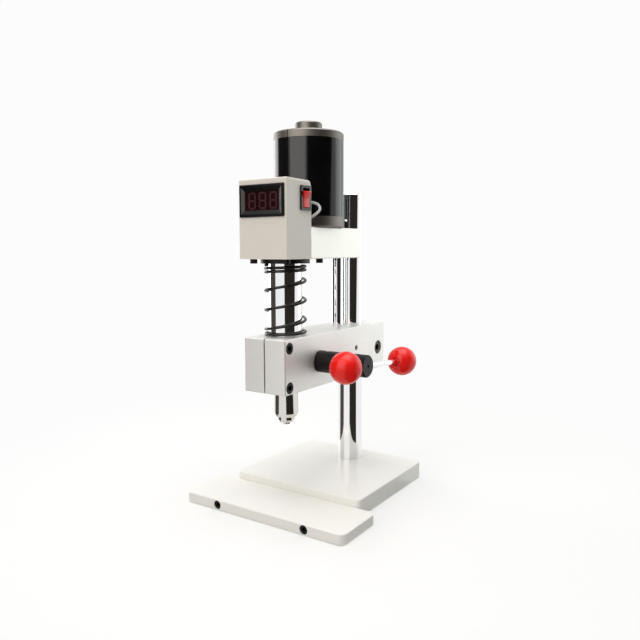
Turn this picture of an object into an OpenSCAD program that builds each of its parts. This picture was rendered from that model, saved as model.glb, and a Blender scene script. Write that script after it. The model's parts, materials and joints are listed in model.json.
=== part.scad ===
// Mini bench drill: a motor head on a sprung rack quill, in a split block on a round column.
// The origin is on the drill axis at bench level, +X is the feed handle's side and +Y runs
// back from the drill axis to the column.

/* [Base] */
// Width of the base plate
base_w = 140; // [120:1:200]
// Depth of the base plate, front to back
base_depth = 128; // [120:1:180]
// Thickness of the base plate
base_t = 17; // [15:0.5:25]
// Corner radius of the base plate
base_corner_r = 5; // [3:0.5:12]
// From the drill axis back to the base plate's front edge
base_front_y = 11.5; // [5:0.5:25]
// Width of the work table plate
table_w = 174; // [145:1:220]
// Depth of the work table plate
table_depth = 53.5; // [45:0.5:80]
// Thickness of the work table plate
table_t = 10; // [9:0.5:13]
// Corner radius of the work table plate
table_corner_r = 6; // [3:0.5:12]
// Chamfer round the plates' edges
plate_edge_c = 0.8; // [0.4:0.1:1.5]

/* [Column] */
// From the drill axis back to the column's axis
throat = 112; // [108:1:125]
// Diameter of the column
column_d = 25; // [20:0.5:28]
// Height of the column above the base plate
column_h = 276.5; // [262:0.5:340]
// Depth of the column's seat in the base plate
column_seat = 8; // [6:0.5:9]

/* [Drill block] */
// Width of the drill block
block_w = 45; // [42:0.5:52]
// Height of the drill block
block_h = 48; // [46:0.5:56]
// Height of the drill block over the base plate, as set in the photograph
block_lift = 95; // [92:0.5:100]
// From the drill axis forward to the block's front face
block_nose = 31; // [29.5:0.5:36]
// From the column's axis back to the block's rear face
block_tail = 32.5; // [29:0.5:40]
// Width of the clamping slits
slit_w = 1.5; // [1:0.1:3]
// Thread size of the two quill clamp screws
quill_clamp_m = 6; // [4:1:6]
// Thread size of the column clamp screw
column_clamp_m = 8; // [6:1:8]

/* [Quill and spring] */
// Diameter of the quill
quill_d = 30; // [29:0.5:31]
// Feed travel of the head
feed_travel = 40; // [20:1:42]
// Height of the return spring at rest
spring_h = 64.5; // [60:0.5:80]
// Wire diameter of the return spring
spring_wire = 2.5; // [2:0.1:2.8]
// Outer diameter of the return spring
spring_d = 38.5; // [38:0.5:41]
// Open turns of the return spring
spring_open_turns = 3; // [2:1:5]
// Closed turns at the top of the return spring
spring_top_turns = 2; // [1:1:3]
// Diameter of the flange under the upper arm
flange_d = 44; // [43:0.5:46]
// Thickness of the flange under the upper arm
flange_t = 4; // [3.5:0.5:6]

/* [Feed] */
// Module of the rack and pinion teeth
rack_module = 1; // [0.9:0.05:1.1]
// Teeth of the pinion
pinion_teeth = 16; // [14:1:17]
// Diameter of the pinion shaft
feed_shaft_d = 10; // [8:0.5:11]
// Diameter of the feed hub
hub_d = 20; // [17:0.5:22]
// Length of the feed hub
hub_len = 50; // [44:1:60]
// Diameter of the handle bar
bar_d = 5; // [4.5:0.5:6]
// Between the centres of the two knobs
bar_span = 105; // [90:1:130]
// From the hub's axis to the front knob's centre
bar_front = 28.6; // [27:0.1:45]
// Slope of the handle bar at rest, far end down
bar_slope = 5.1; // [0:0.1:15]
// Diameter of the knobs
knob_d = 28; // [24:0.5:30]

/* [Upper arm] */
// Side wall of the upper arm beside its belt room
arm_wall = 4; // [3.5:0.25:4.5]
// Height of the upper arm
arm_h = 28.5; // [27:0.5:32]
// From the drill axis forward to the arm's front face
arm_nose = 28.5; // [28:0.5:30.5]
// Thickness of the arm's cover plate
arm_cover_t = 5; // [4:0.5:7]
// Gap between the arm's rear face and the column
arm_column_gap = 3; // [2.5:0.25:4]
// Diameter of the guide rod
guide_d = 12; // [9:0.5:12]
// From the column's axis forward to the guide rod's axis
guide_lead = 25; // [24:0.5:27]

/* [Drive] */
// Tooth pitch of the drive belt
belt_pitch = 3; // [2.5:0.1:3.2]
// Teeth of the motor pulley
motor_pulley_teeth = 20; // [16:1:22]
// Teeth of the spindle pulley
spindle_pulley_teeth = 24; // [20:1:26]
// Width of the drive belt
belt_w = 9; // [6:0.5:9.5]

/* [Motor] */
// From the drill axis back to the motor's axis
motor_y = 37.5; // [37.5:0.5:41]
// Diameter of the motor can
motor_d = 65; // [62:0.5:65]
// Diameter of the motor's lower end cap
motor_foot_d = 65.25; // [62:0.25:65.25]
// Diameter of the motor's upper end cap
motor_cap_d = 65; // [61:0.5:65]
// Height of the lower end cap
motor_foot_h = 9.5; // [9.5:0.5:16]
// Height of the motor can
motor_can_h = 69.5; // [66:0.5:90]
// Height of the upper end cap
motor_top_h = 7; // [7:0.5:12]
// Diameter of the boss on the upper end cap
motor_boss_d = 25; // [25:0.5:30]
// Height of the boss on the upper end cap
motor_boss_h = 10; // [8.5:0.5:13]

/* [Control box] */
// Wall of the control box
box_wall = 3; // [2.25:0.25:3.5]
// Height of the control box
box_h = 68; // [65:0.5:80]
// Radius of the control box's edges
box_edge_r = 1.25; // [0.75:0.25:2]
// Radius of the control box's rear top corner
box_crown_r = 3; // [2.25:0.25:4]
// Space left of the box's front on each side of the meter's bezel
meter_side_gap = 2; // [1.5:0.25:3.5]
// Height of the meter's bezel
meter_h = 27.5; // [26:0.5:30]
// Height of the switch's bezel
switch_h = 21; // [19:0.5:23]
// Width of the switch's bezel
switch_w = 15; // [13:0.5:16]

/* [Chuck] */
// Diameter of the chuck's sleeve
chuck_d = 21.7; // [21:0.1:23]
// Diameter of the chuck's nose
chuck_nose_d = 15; // [14:0.1:16]
// How far the jaws run back as they open
jaw_travel = 8; // [4:0.5:8]
// Slope of the jaws to the drill axis
jaw_slope = 13; // [12:0.5:13.5]

/* [Hidden] */
$fn = 64;

// Shared clearances and allowances
cut = 0.5;
run_fit = 0.05;
seat_gap = 0.1;
hull_fn = 32;

// Colours of the finishes
plate_white = [0.93, 0.93, 0.91];
bead_alu = [0.80, 0.80, 0.77];
chrome = [0.82, 0.83, 0.85];
black_oxide = [0.10, 0.10, 0.11];
steel_grey = [0.55, 0.56, 0.58];
bronze = [0.72, 0.52, 0.28];
box_grey = [0.84, 0.84, 0.81];
black_plastic = [0.06, 0.06, 0.07];
knob_red = [0.82, 0.05, 0.06];

// Heights of the main levels over the bench
block_z = base_t + block_lift;
block_top = block_z + block_h;
flange_z = block_top + spring_h;
arm_z = flange_z + flange_t;
arm_top = arm_z + arm_h;
can_z = arm_top + motor_foot_h;
can_top = can_z + motor_can_h;
motor_cap_top = can_top + motor_top_h;
column_top = base_t + column_h;

// Socket head cap screws: sizes follow the thread size m
head_d_share = 1.6;
key_share = 0.9;
key_depth_share = 0.55;
function cap_head_d(m) = m * head_d_share;
module cap_screw(m, len, head_h = 0) {
    h = head_h > 0 ? head_h : m;
    difference() {
        union() {
            cylinder(d = cap_head_d(m), h = h);
            translate([0, 0, -len]) cylinder(d = m, h = len + h / 2);
        }
        translate([0, 0, h * (1 - key_depth_share)])
            cylinder(d = m * key_share, h = h, $fn = 6);
    }
}
module grub_screw(m, len) {
    difference() {
        cylinder(d = m, h = len);
        translate([0, 0, len - m * key_depth_share]) cylinder(d = m * key_share / 1.5, h = len, $fn = 6);
    }
}

// Countersunk screws
csk_head_share = 1.9;
csk_height_share = 0.5;
module csk_screw(m, len) {
    difference() {
        rotate_extrude() polygon([
            [0, 0], [m * csk_head_share / 2, 0], [m / 2, -m * csk_height_share],
            [m / 2, -len], [0, -len]
        ]);
        translate([0, 0, -m * key_depth_share / 2]) cylinder(d = m * key_share / 1.4, h = len, $fn = 6);
    }
}
module csk_hole(m, len) {
    rotate_extrude() polygon([
        [0, cut], [m * csk_head_share / 2 + seat_gap, cut], [m * csk_head_share / 2 + seat_gap, 0],
        [m / 2 + seat_gap, -m * csk_height_share], [m / 2 + seat_gap, -len - seat_gap], [0, -len - seat_gap]
    ]);
}

// Turns a shape that stands along +Z so that it stands along +X or -X
module along_x() { rotate([0, 90, 0]) children(); }
module along_minus_x() { rotate([0, -90, 0]) children(); }
module along_y() { rotate([-90, 0, 0]) children(); }
module along_minus_y() { rotate([90, 0, 0]) children(); }

// A block with its edges chamfered by c, between two corners; its foot or its top can stay square
module edged_block(low, high, c, foot_c = -1, top_c = -1) {
    size = high - low;
    f = foot_c < 0 ? c : foot_c;
    t = top_c < 0 ? c : top_c;
    hull() {
        translate(low + [c, c, 0]) cube([size.x - 2 * c, size.y - 2 * c, size.z]);
        translate(low + [c, 0, f]) cube([size.x - 2 * c, size.y, size.z - f - t]);
        translate(low + [0, c, f]) cube([size.x, size.y - 2 * c, size.z - f - t]);
    }
}

// A plate with round corners and chamfered edges, from y0 back to y1
module edged_plate(w, y0, y1, t, r, c) {
    hull() for (x = [-1, 1], y = [0, 1]) {
        cx = x * (w / 2 - r);
        cy = y == 0 ? y0 + r : y1 - r;
        translate([cx, cy, 0]) cylinder(r = r - c, h = t, $fn = hull_fn);
        translate([cx, cy, c]) cylinder(r = r, h = t - 2 * c, $fn = hull_fn);
    }
}

// Base
base_back_y = base_front_y + base_depth;
table_screw_m = 5;
table_screw_len = table_depth + 4;
table_screw_sink = 6;
table_screw_x = base_w / 2 - 22;
table_screw_hole_d = table_screw_m + 2 * seat_gap;
foot_screw_m = 8;
foot_head_h = 5;
foot_head_sink = 5.5;
foot_thread_len = 22;

module base_plate() {
    color(plate_white) difference() {
        edged_plate(base_w, base_front_y, base_back_y, base_t, base_corner_r, plate_edge_c);
        translate([0, throat, base_t - column_seat])
            cylinder(d = column_d + 2 * run_fit, h = column_seat + cut);
        translate([0, throat, -cut]) cylinder(d = foot_screw_m + 1, h = base_t);
        translate([0, throat, -cut])
            cylinder(d = cap_head_d(foot_screw_m) + 1, h = foot_head_sink + cut);
        for (x = [-1, 1]) translate([x * table_screw_x, base_front_y - cut, table_t / 2])
            along_y() cylinder(d = table_screw_hole_d,
                h = table_screw_len - table_depth + table_screw_sink + cut);
    }
}

module work_table() {
    front = base_front_y - table_depth;
    color(plate_white) difference() {
        edged_plate(table_w, front, base_front_y, table_t, table_corner_r, plate_edge_c);
        for (x = [-1, 1]) translate([x * table_screw_x, front - cut, table_t / 2]) along_y() {
            cylinder(d = table_screw_hole_d, h = table_depth + 2 * cut);
            cylinder(d = cap_head_d(table_screw_m) + 2 * seat_gap, h = table_screw_sink + cut);
        }
    }
}

module table_screws() {
    color(black_oxide) for (x = [-1, 1])
        translate([x * table_screw_x, base_front_y - table_depth + table_screw_sink, table_t / 2])
            along_minus_y() cap_screw(table_screw_m, table_screw_len - table_screw_sink);
}

// Column
column_edge_c = 1.5;
module column() {
    color(chrome) translate([0, throat, 0]) difference() {
        union() {
            translate([0, 0, base_t - column_seat])
                cylinder(d = column_d, h = column_h + column_seat - column_edge_c);
            translate([0, 0, column_top - column_edge_c])
                cylinder(d1 = column_d, d2 = column_d - 2 * column_edge_c, h = column_edge_c);
        }
        translate([0, 0, base_t - column_seat - cut])
            cylinder(d = foot_screw_m + 2 * run_fit, h = foot_thread_len + cut);
    }
}

module column_foot_screw() {
    len = base_t - column_seat - foot_head_sink + foot_thread_len - 2;
    color(black_oxide) translate([0, throat, foot_head_sink]) mirror([0, 0, 1])
        cap_screw(foot_screw_m, len, foot_head_h);
}

// Drill block
block_edge_c = 0.8;
block_bore_fit = run_fit;
clamp_head_gap = 0.75;
clamp_head_sink = 6;
quill_clamp_y = -24.6;
quill_clamp_top = 7.5;
quill_clamp_bottom = 6.2;
quill_clamp_len = 26;
column_clamp_back = 19.6;
column_clamp_low = 2;
column_clamp_sink = 9;
column_clamp_len = 26;
guide_y = throat - guide_lead;
guide_seat = 32;
guide_grub_m = 5;
guide_grub_len = 10;
guide_grub_drop = 21;
guide_grub_sink = 3;
feed_y = quill_d / 2 + 7;
feed_z = block_z + 23;
pinion_r = rack_module * pinion_teeth / 2;
pinion_tip_r = pinion_r + rack_module;
pinion_root_r = pinion_r - rack_module * 1.25;
pinion_face_w = 14;
pinion_bore_d = 2 * pinion_tip_r + 2;
pinion_bore_end = pinion_face_w / 2 + 1;
left_bush_d = feed_shaft_d + 4;

function quill_clamp_heights() = [block_z + quill_clamp_bottom, block_top - quill_clamp_top];

module drill_block() {
    rear = throat + block_tail;
    color(bead_alu) difference() {
        edged_block([-block_w / 2, -block_nose, block_z], [block_w / 2, rear, block_top], block_edge_c);
        translate([0, 0, block_z - cut])
            cylinder(d = quill_d + 2 * block_bore_fit, h = block_h + 2 * cut);
        translate([0, throat, block_z - cut])
            cylinder(d = column_d + 2 * block_bore_fit, h = block_h + 2 * cut);
        translate([-slit_w / 2, -block_nose - cut, block_z - cut])
            cube([slit_w, block_nose, block_h + 2 * cut]);
        translate([-slit_w / 2, throat, block_z - cut])
            cube([slit_w, block_tail + cut, block_h + 2 * cut]);
        translate([0, guide_y, block_top - guide_seat])
            cylinder(d = guide_d + 2 * run_fit, h = guide_seat + cut);
        // screw holes, drilled from the right face
        for (z = quill_clamp_heights()) translate([block_w / 2, quill_clamp_y, z]) along_minus_x() {
            translate([0, 0, -cut])
                cylinder(d = cap_head_d(quill_clamp_m) + clamp_head_gap, h = clamp_head_sink + cut);
            cylinder(d = quill_clamp_m + 2 * seat_gap, h = clamp_head_sink + quill_clamp_len + 1);
        }
        translate([block_w / 2, throat + column_clamp_back, block_z + block_h / 2 - column_clamp_low])
            along_minus_x() {
                translate([0, 0, -cut])
                    cylinder(d = cap_head_d(column_clamp_m) + 2 * clamp_head_gap,
                        h = column_clamp_sink + cut);
                cylinder(d = column_clamp_m + 2 * seat_gap, h = column_clamp_sink + column_clamp_len + 1);
            }
        translate([0, guide_y, block_top - guide_grub_drop]) along_x()
            cylinder(d = guide_grub_m + 2 * seat_gap, h = block_w);
        // stepped bore of the pinion, open into the quill's bore
        translate([-pinion_bore_end, feed_y, feed_z]) along_x() cylinder(d = pinion_bore_d, h = block_w);
        translate([0, feed_y, feed_z]) along_minus_x() cylinder(d = left_bush_d, h = block_w);
    }
}

module quill_clamp_screws() {
    color(black_oxide) for (z = quill_clamp_heights())
        translate([block_w / 2 - clamp_head_sink, quill_clamp_y, z]) along_x()
            cap_screw(quill_clamp_m, quill_clamp_len);
}

module column_clamp_screw() {
    color(steel_grey)
        translate([block_w / 2 - column_clamp_sink, throat + column_clamp_back,
            block_z + block_h / 2 - column_clamp_low])
            along_x() cap_screw(column_clamp_m, column_clamp_len);
}

// Guide rod, its grub screw and the stop collar at its top
stop_d = 15.5;
stop_h = 8;
stop_grub_m = 4;
rod_end_c = 1;
rod_proud = 2;
rod_top = arm_top + seat_gap + stop_h + rod_proud;

module guide_rod() {
    rod_z = block_top - guide_seat + seat_gap;
    color(chrome) translate([0, guide_y, 0]) {
        translate([0, 0, rod_z]) cylinder(d = guide_d, h = rod_top - rod_z - rod_end_c);
        translate([0, 0, rod_top - rod_end_c])
            cylinder(d1 = guide_d, d2 = guide_d - 2 * rod_end_c, h = rod_end_c);
    }
}

module stop_collar() {
    color(black_oxide) translate([0, guide_y, arm_top + seat_gap]) difference() {
        cylinder(d = stop_d, h = stop_h);
        translate([0, 0, -cut]) cylinder(d = guide_d, h = stop_h + 2 * cut);
        translate([0, 0, stop_h / 2]) along_minus_x() cylinder(d = stop_grub_m + 2 * run_fit, h = stop_d);
    }
}

module grub_screws() {
    color(black_oxide) {
        translate([guide_d / 2 + seat_gap, guide_y, block_top - guide_grub_drop]) along_x()
            grub_screw(guide_grub_m, block_w / 2 - guide_d / 2 - seat_gap - guide_grub_sink);
        translate([-guide_d / 2, guide_y, arm_top + seat_gap + stop_h / 2]) along_minus_x()
            grub_screw(stop_grub_m, (stop_d - guide_d) / 2);
    }
}

// Feed gear: bushes, pinion shaft, hub and handle bar
tooth_steps = 5;
backlash = 0.3;
pressure_angle = 20;
hub_gap = 0.5;
hub_edge_c = 1;
shaft_in_hub = 32;
clip_t = 1;
clip_rim = 2;
bush_gap = 0.3;
left_proud = 3;
hub_pin_d = 3;
hub_pin_x = 8;
bar_in = 5.5;
hub_x = block_w / 2 + hub_gap;
hub_end = hub_x + hub_len;
bar_x = hub_end - bar_in;
shaft_left = -block_w / 2 - left_proud;

// Angle in degrees from a tooth's middle to its flank at radius r
function inv(a) = tan(a) * 180 / PI - a;
function flank(r) =
    let (base_r = pinion_r * cos(pressure_angle),
        at = r > base_r ? acos(base_r / r) : 0,
        pitch_half = (PI * rack_module / 2 - backlash) / 2 / pinion_r * 180 / PI)
    pitch_half + inv(pressure_angle) - inv(at);
module pinion_outline() {
    radii = [for (i = [0:tooth_steps]) pinion_root_r + (pinion_tip_r - pinion_root_r) * i / tooth_steps];
    polygon([for (t = [0:pinion_teeth - 1]) let (a = t * 360 / pinion_teeth)
        each concat(
            [for (i = [0:tooth_steps]) radii[i] * [cos(a - flank(radii[i])), sin(a - flank(radii[i]))]],
            [for (i = [tooth_steps:-1:0]) radii[i] * [cos(a + flank(radii[i])), sin(a + flank(radii[i]))]]
        )]);
}

module pinion_bushes() {
    bush_len = block_w / 2 - pinion_bore_end;
    color(bronze) difference() {
        translate([0, feed_y, feed_z]) {
            translate([pinion_bore_end, 0, 0]) along_x() cylinder(d = pinion_bore_d, h = bush_len);
            translate([-block_w / 2, 0, 0]) along_x() cylinder(d = left_bush_d, h = bush_len);
        }
        translate([-block_w, feed_y, feed_z]) along_x()
            cylinder(d = feed_shaft_d + 2 * run_fit, h = 2 * block_w);
        translate([0, 0, block_z]) cylinder(d = quill_d + 2 * bush_gap, h = block_h);
    }
}

module pinion_shaft() {
    color(steel_grey) translate([0, feed_y, feed_z]) difference() {
        union() {
            translate([shaft_left, 0, 0]) along_x()
                cylinder(d = feed_shaft_d, h = hub_x + shaft_in_hub - shaft_left);
            translate([-pinion_face_w / 2, 0, 0]) rotate([90, 0, 90])
                linear_extrude(pinion_face_w) pinion_outline();
        }
        translate([-block_w / 2 - bush_gap - clip_t - bush_gap / 2, 0, 0]) along_x() difference() {
            cylinder(d = feed_shaft_d + 2, h = clip_t + bush_gap / 2);
            translate([0, 0, -cut]) cylinder(d = feed_shaft_d - 1, h = clip_t + 2 * cut);
        }
        translate([hub_x + hub_pin_x, 0, -feed_shaft_d]) cylinder(d = hub_pin_d, h = 2 * feed_shaft_d);
    }
}

module pinion_clip() {
    color(black_oxide) translate([-block_w / 2 - bush_gap - clip_t, feed_y, feed_z]) along_x()
        difference() {
            cylinder(d = feed_shaft_d + 2 * clip_rim, h = clip_t);
            translate([0, 0, -cut]) cylinder(d = feed_shaft_d - 1, h = clip_t + 2 * cut);
            translate([0, -feed_shaft_d / 4, -cut]) cube([feed_shaft_d, feed_shaft_d / 2, clip_t + 2 * cut]);
        }
}

module feed_hub() {
    color(black_oxide) translate([0, feed_y, feed_z]) difference() {
        translate([hub_x, 0, 0]) along_x() rotate_extrude() polygon([
            [0, 0], [hub_d / 2 - hub_edge_c, 0], [hub_d / 2, hub_edge_c],
            [hub_d / 2, hub_len - hub_edge_c], [hub_d / 2 - hub_edge_c, hub_len], [0, hub_len]
        ]);
        translate([hub_x - cut, 0, 0]) along_x()
            cylinder(d = feed_shaft_d + 2 * run_fit, h = shaft_in_hub + cut + seat_gap);
        translate([hub_x + hub_pin_x, 0, -hub_d]) cylinder(d = hub_pin_d, h = 2 * hub_d);
        rotate([-bar_slope, 0, 0]) translate([bar_x, -hub_d, 0])
            along_y() cylinder(d = bar_d + 2 * run_fit, h = 2 * hub_d);
        translate([bar_x, 0, 0]) along_x() cylinder(d = bar_d + 2 * run_fit, h = bar_in + cut);
    }
}

module hub_pin() {
    color(steel_grey) translate([hub_x + hub_pin_x, feed_y, feed_z - hub_d / 2 + seat_gap])
        cylinder(d = hub_pin_d, h = hub_d - 2 * seat_gap);
}

module bar_clamp_screw() {
    color(steel_grey) translate([bar_x + bar_d / 2 + seat_gap, feed_y, feed_z]) along_x()
        grub_screw(bar_d, bar_in - bar_d / 2 - 2 * seat_gap);
}

knob_recess_d = 9;
knob_recess = 2.2;
knob_grip = 9;
bar_back = bar_span - bar_front;

// Places its children with +Z along the handle bar towards the back, from the hub's axis
module on_bar() {
    translate([bar_x, feed_y, feed_z]) rotate([-bar_slope, 0, 0]) along_y() children();
}

module handle_bar() {
    reach = knob_d / 2 - knob_grip - knob_recess / 2;
    color(chrome) on_bar() translate([0, 0, -bar_front + reach - bar_d / 2])
        cylinder(d = bar_d, h = bar_span - 2 * reach + bar_d);
}

module knob() {
    bore = knob_d / 2 - knob_grip - knob_recess / 2 - bar_d / 2 - seat_gap;
    difference() {
        sphere(d = knob_d, $fn = 96);
        translate([0, 0, bore]) cylinder(d = bar_d + 2 * run_fit, h = knob_d);
        translate([0, 0, knob_d / 2 - knob_recess]) cylinder(d = knob_recess_d, h = knob_d);
    }
}

module ball_knobs() {
    color(knob_red) on_bar() {
        translate([0, 0, -bar_front]) knob();
        translate([0, 0, bar_back]) rotate([180, 0, 0]) knob();
    }
}

// Quill with its rack, the flange and the return spring
quill_low = 7;
quill_z = block_z + quill_low;
quill_bore_d = 18;
housing_floor = 6;
quill_top = arm_z + housing_floor;
bearing_d = 22;
bearing_bore = 8;
bearing_w = 7;
bearing_lip = 2;
rack_pitch = PI * rack_module;
rack_line_y = feed_y - pinion_r;
rack_depth = rack_module * 1.25;

module rack_space() {
    mid = rack_pitch / 4;
    slope = tan(pressure_angle);
    out = quill_d / 2 + cut - rack_line_y;
    rotate([90, 0, 90]) linear_extrude(quill_d, center = true) polygon([
        [rack_line_y - rack_depth, -mid + rack_depth * slope],
        [rack_line_y + out, -mid - out * slope],
        [rack_line_y + out, mid + out * slope],
        [rack_line_y - rack_depth, mid - rack_depth * slope]
    ]);
}

module quill() {
    color(chrome) difference() {
        translate([0, 0, quill_z]) cylinder(d = quill_d, h = quill_top - quill_z);
        translate([0, 0, quill_z - cut]) cylinder(d = quill_bore_d, h = quill_top - quill_z + 2 * cut);
        for (z = [quill_z - cut, quill_top - bearing_w - bearing_lip])
            translate([0, 0, z]) cylinder(d = bearing_d, h = bearing_w + bearing_lip + cut);
        for (k = [-2:ceil(feed_travel / rack_pitch) + 2])
            translate([0, 0, feed_z + k * rack_pitch]) rack_space();
    }
}

flange_screw_m = 3;
flange_screw_len = 9;
flange_screw_r = quill_d / 2 + 3.6;
flange_screw_count = 4;

module quill_flange() {
    color(black_oxide) translate([0, 0, flange_z]) difference() {
        cylinder(d = flange_d, h = flange_t);
        translate([0, 0, -cut]) cylinder(d = quill_d, h = flange_t + 2 * cut);
        for (i = [1:flange_screw_count]) rotate([0, 0, (i + 0.5) * 360 / flange_screw_count])
            translate([flange_screw_r, 0, 0]) mirror([0, 0, 1]) csk_hole(flange_screw_m, flange_screw_len);
    }
}

module flange_screws() {
    color(black_oxide) translate([0, 0, flange_z]) for (i = [1:flange_screw_count])
        rotate([0, 0, (i + 0.5) * 360 / flange_screw_count]) translate([flange_screw_r, 0, 0])
            mirror([0, 0, 1]) csk_screw(flange_screw_m, flange_screw_len - 1);
}

// The return spring: closed coils at its ends and open coils between, wound right-handed
spring_rings = 8;
spring_sides = 6;
spring_bottom_turns = 1;
spring_start = 197;
spring_r = (spring_d - spring_wire) / 2;
spring_closed_pitch = spring_wire + 0.6;
spring_turns = spring_bottom_turns + spring_open_turns + spring_top_turns;
spring_rise = spring_h - spring_wire - 2 * seat_gap;
spring_open_pitch = (spring_rise - (spring_bottom_turns + spring_top_turns) * spring_closed_pitch)
    / spring_open_turns;
// Pitch at a count of turns t from the bottom
function spring_z(t) =
    t <= spring_bottom_turns ? t * spring_closed_pitch :
    t <= spring_bottom_turns + spring_open_turns ?
        spring_bottom_turns * spring_closed_pitch + (t - spring_bottom_turns) * spring_open_pitch :
    spring_rise - (spring_turns - t) * spring_closed_pitch;
// The wire's centre on the coil, rounded off where the pitch changes
spring_blend = 0.12;
function spring_point(t) =
    let (a = spring_start + t * 360,
        below = spring_z(max(0, t - spring_blend)),
        above = spring_z(min(spring_turns, t + spring_blend)),
        z = (below + 2 * spring_z(t) + above) / 4)
    [spring_r * cos(a), spring_r * sin(a), z];
function unit(v) = v / norm(v);
spring_coil = [for (i = [0:spring_turns * spring_rings]) spring_point(i / spring_rings)];
spring_last = len(spring_coil) - 1;
spring_start_way = [sin(spring_start), -cos(spring_start), 0];
spring_end_angle = spring_start + spring_turns * 360;
spring_end_way = [-sin(spring_end_angle), cos(spring_end_angle), 0];
spring_path = concat([spring_coil[0] + spring_wire * spring_start_way], spring_coil,
    [spring_coil[spring_last] + spring_wire * spring_end_way]);
function path_way(p, i) = unit(p[min(i + 1, len(p) - 1)] - p[max(i - 1, 0)]);
function wire_ring(p, i, r, sides) =
    let (way = path_way(p, i), side = unit(cross(way, [0, 0, 1])), rise = cross(side, way))
    [for (s = [0:sides - 1]) p[i] + r * (cos(s * 360 / sides) * side + sin(s * 360 / sides) * rise)];
// A tube of triangles swept along a path
module wire_tube(path, r, sides) {
    n = len(path);
    points = [for (i = [0:n - 1]) each wire_ring(path, i, r, sides)];
    walls = [for (i = [0:n - 2], s = [0:sides - 1]) let (
        a = i * sides + s, b = i * sides + (s + 1) % sides) each [
        [a, b, b + sides], [a, b + sides, a + sides]]];
    start_cap = [for (s = [1:sides - 2]) [0, s + 1, s]];
    end_cap = [for (s = [1:sides - 2]) (n - 1) * sides * [1, 1, 1] + [0, s, s + 1]];
    polyhedron(points, concat(walls, start_cap, end_cap));
}
spring_gaps = [for (i = [0:spring_last], j = [i + spring_rings - 2:1:spring_last])
    norm(spring_coil[i] - spring_coil[j]) - spring_wire];
echo(spring_least_gap = min(spring_gaps), spring_open_pitch = spring_open_pitch);

module return_spring() {
    color(black_oxide) translate([0, 0, block_top + seat_gap + spring_wire / 2])
        wire_tube(spring_path, spring_wire / 2, spring_sides);
}

// Upper arm. Its width is the belt room with a wall on each side.
pulley_rim_extra = 1;
belt_t = 1.4;
belt_gap = 0.35;
belt_side_room = 4.29;
function pulley_r(teeth) = teeth * belt_pitch / PI / 2;
belt_room_w = 2 * (pulley_r(spindle_pulley_teeth) + pulley_rim_extra + belt_gap + belt_t + belt_side_room);
arm_w = belt_room_w + 2 * arm_wall;
arm_rear = throat - column_d / 2 - arm_column_gap;
arm_edge_c = 0.8;
arm_screw_m = 4;
arm_screw_boss_d = 9;
arm_screw_x = arm_w / 2 - 4.5;
arm_screw_first = -22;
arm_screw_pitch = 50;
arm_screw_sink = 4.5;
arm_screw_rear = 10;
cover_z = arm_top - arm_cover_t;
cavity_nose = 16;
cavity_tail = 20;
bush_d = guide_d + 3;
motor_pilot_d = 24;
motor_pilot_h = 4.5;
motor_screw_r = 15.5;
motor_screw_m = 4;
lead_d = 2.5;
lead_hole_x = 19.5;

module at_arm_screws() {
    for (x = [-1, 1], i = [0, 1])
        translate([x * arm_screw_x, arm_screw_first + i * arm_screw_pitch, arm_z]) children();
}
module at_rear_screws() {
    for (x = [-1, 1]) translate([x * arm_screw_x, arm_rear - arm_screw_rear, arm_z]) children();
}

module arm_housing() {
    color(bead_alu) difference() {
        edged_block([-arm_w / 2, -arm_nose, arm_z], [arm_w / 2, arm_rear, cover_z], arm_edge_c, top_c = 0);
        difference() {
            translate([-arm_w / 2 + arm_wall, -cavity_nose, quill_top])
                cube([belt_room_w, cavity_nose + motor_y + cavity_tail, arm_h]);
            at_arm_screws() cylinder(d = arm_screw_boss_d, h = arm_h);
        }
        translate([0, 0, arm_z - cut]) cylinder(d = quill_d, h = housing_floor + 2 * cut);
        translate([0, guide_y, arm_z - cut]) cylinder(d = bush_d, h = arm_h);
        at_arm_screws() translate([0, 0, -cut]) cylinder(d = arm_screw_m + 2 * seat_gap, h = arm_h);
        at_rear_screws() translate([0, 0, -cut]) {
            cylinder(d = arm_screw_m + 2 * seat_gap, h = arm_h);
            cylinder(d = cap_head_d(arm_screw_m) + 2 * seat_gap, h = arm_screw_sink + cut);
        }
        for (y = side_screw_y) translate([-arm_w / 2 - cut, y, side_screw_z]) along_x()
            cylinder(d = side_screw_m + 2 * seat_gap, h = side_screw_grip + 2 * cut);
        for (i = [1:flange_screw_count]) rotate([0, 0, (i + 0.5) * 360 / flange_screw_count])
            translate([flange_screw_r, 0, arm_z - cut])
                cylinder(d = flange_screw_m + 2 * seat_gap, h = flange_screw_len - flange_t + cut);
    }
}

module arm_cover() {
    color(bead_alu) difference() {
        edged_block([-arm_w / 2, -arm_nose, cover_z], [arm_w / 2, arm_rear, arm_top], arm_edge_c, foot_c = 0);
        translate([0, motor_y, cover_z - cut]) cylinder(d = motor_pilot_d, h = arm_h);
        for (y = [-1, 1]) translate([0, motor_y + y * motor_screw_r, cover_z - cut])
            cylinder(d = motor_screw_m + 2 * seat_gap, h = arm_h);
        translate([0, guide_y, cover_z - cut]) cylinder(d = bush_d, h = arm_h);
        for (far = [false, true]) {
            hole = [0, 0, arm_h - arm_cover_t - cut];
            if (far) at_rear_screws() translate(hole) arm_screw_hole();
            else at_arm_screws() translate(hole) arm_screw_hole();
        }
    }
}
module arm_screw_hole() {
    cylinder(d = arm_screw_m + 2 * seat_gap, h = arm_cover_t - 1 + cut);
}

module arm_screws() {
    color(black_oxide) {
        at_arm_screws() mirror([0, 0, 1]) cap_screw(arm_screw_m, arm_h - 2);
        at_rear_screws() translate([0, 0, arm_screw_sink]) mirror([0, 0, 1])
            cap_screw(arm_screw_m, arm_h - arm_screw_sink - 2);
    }
}

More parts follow.
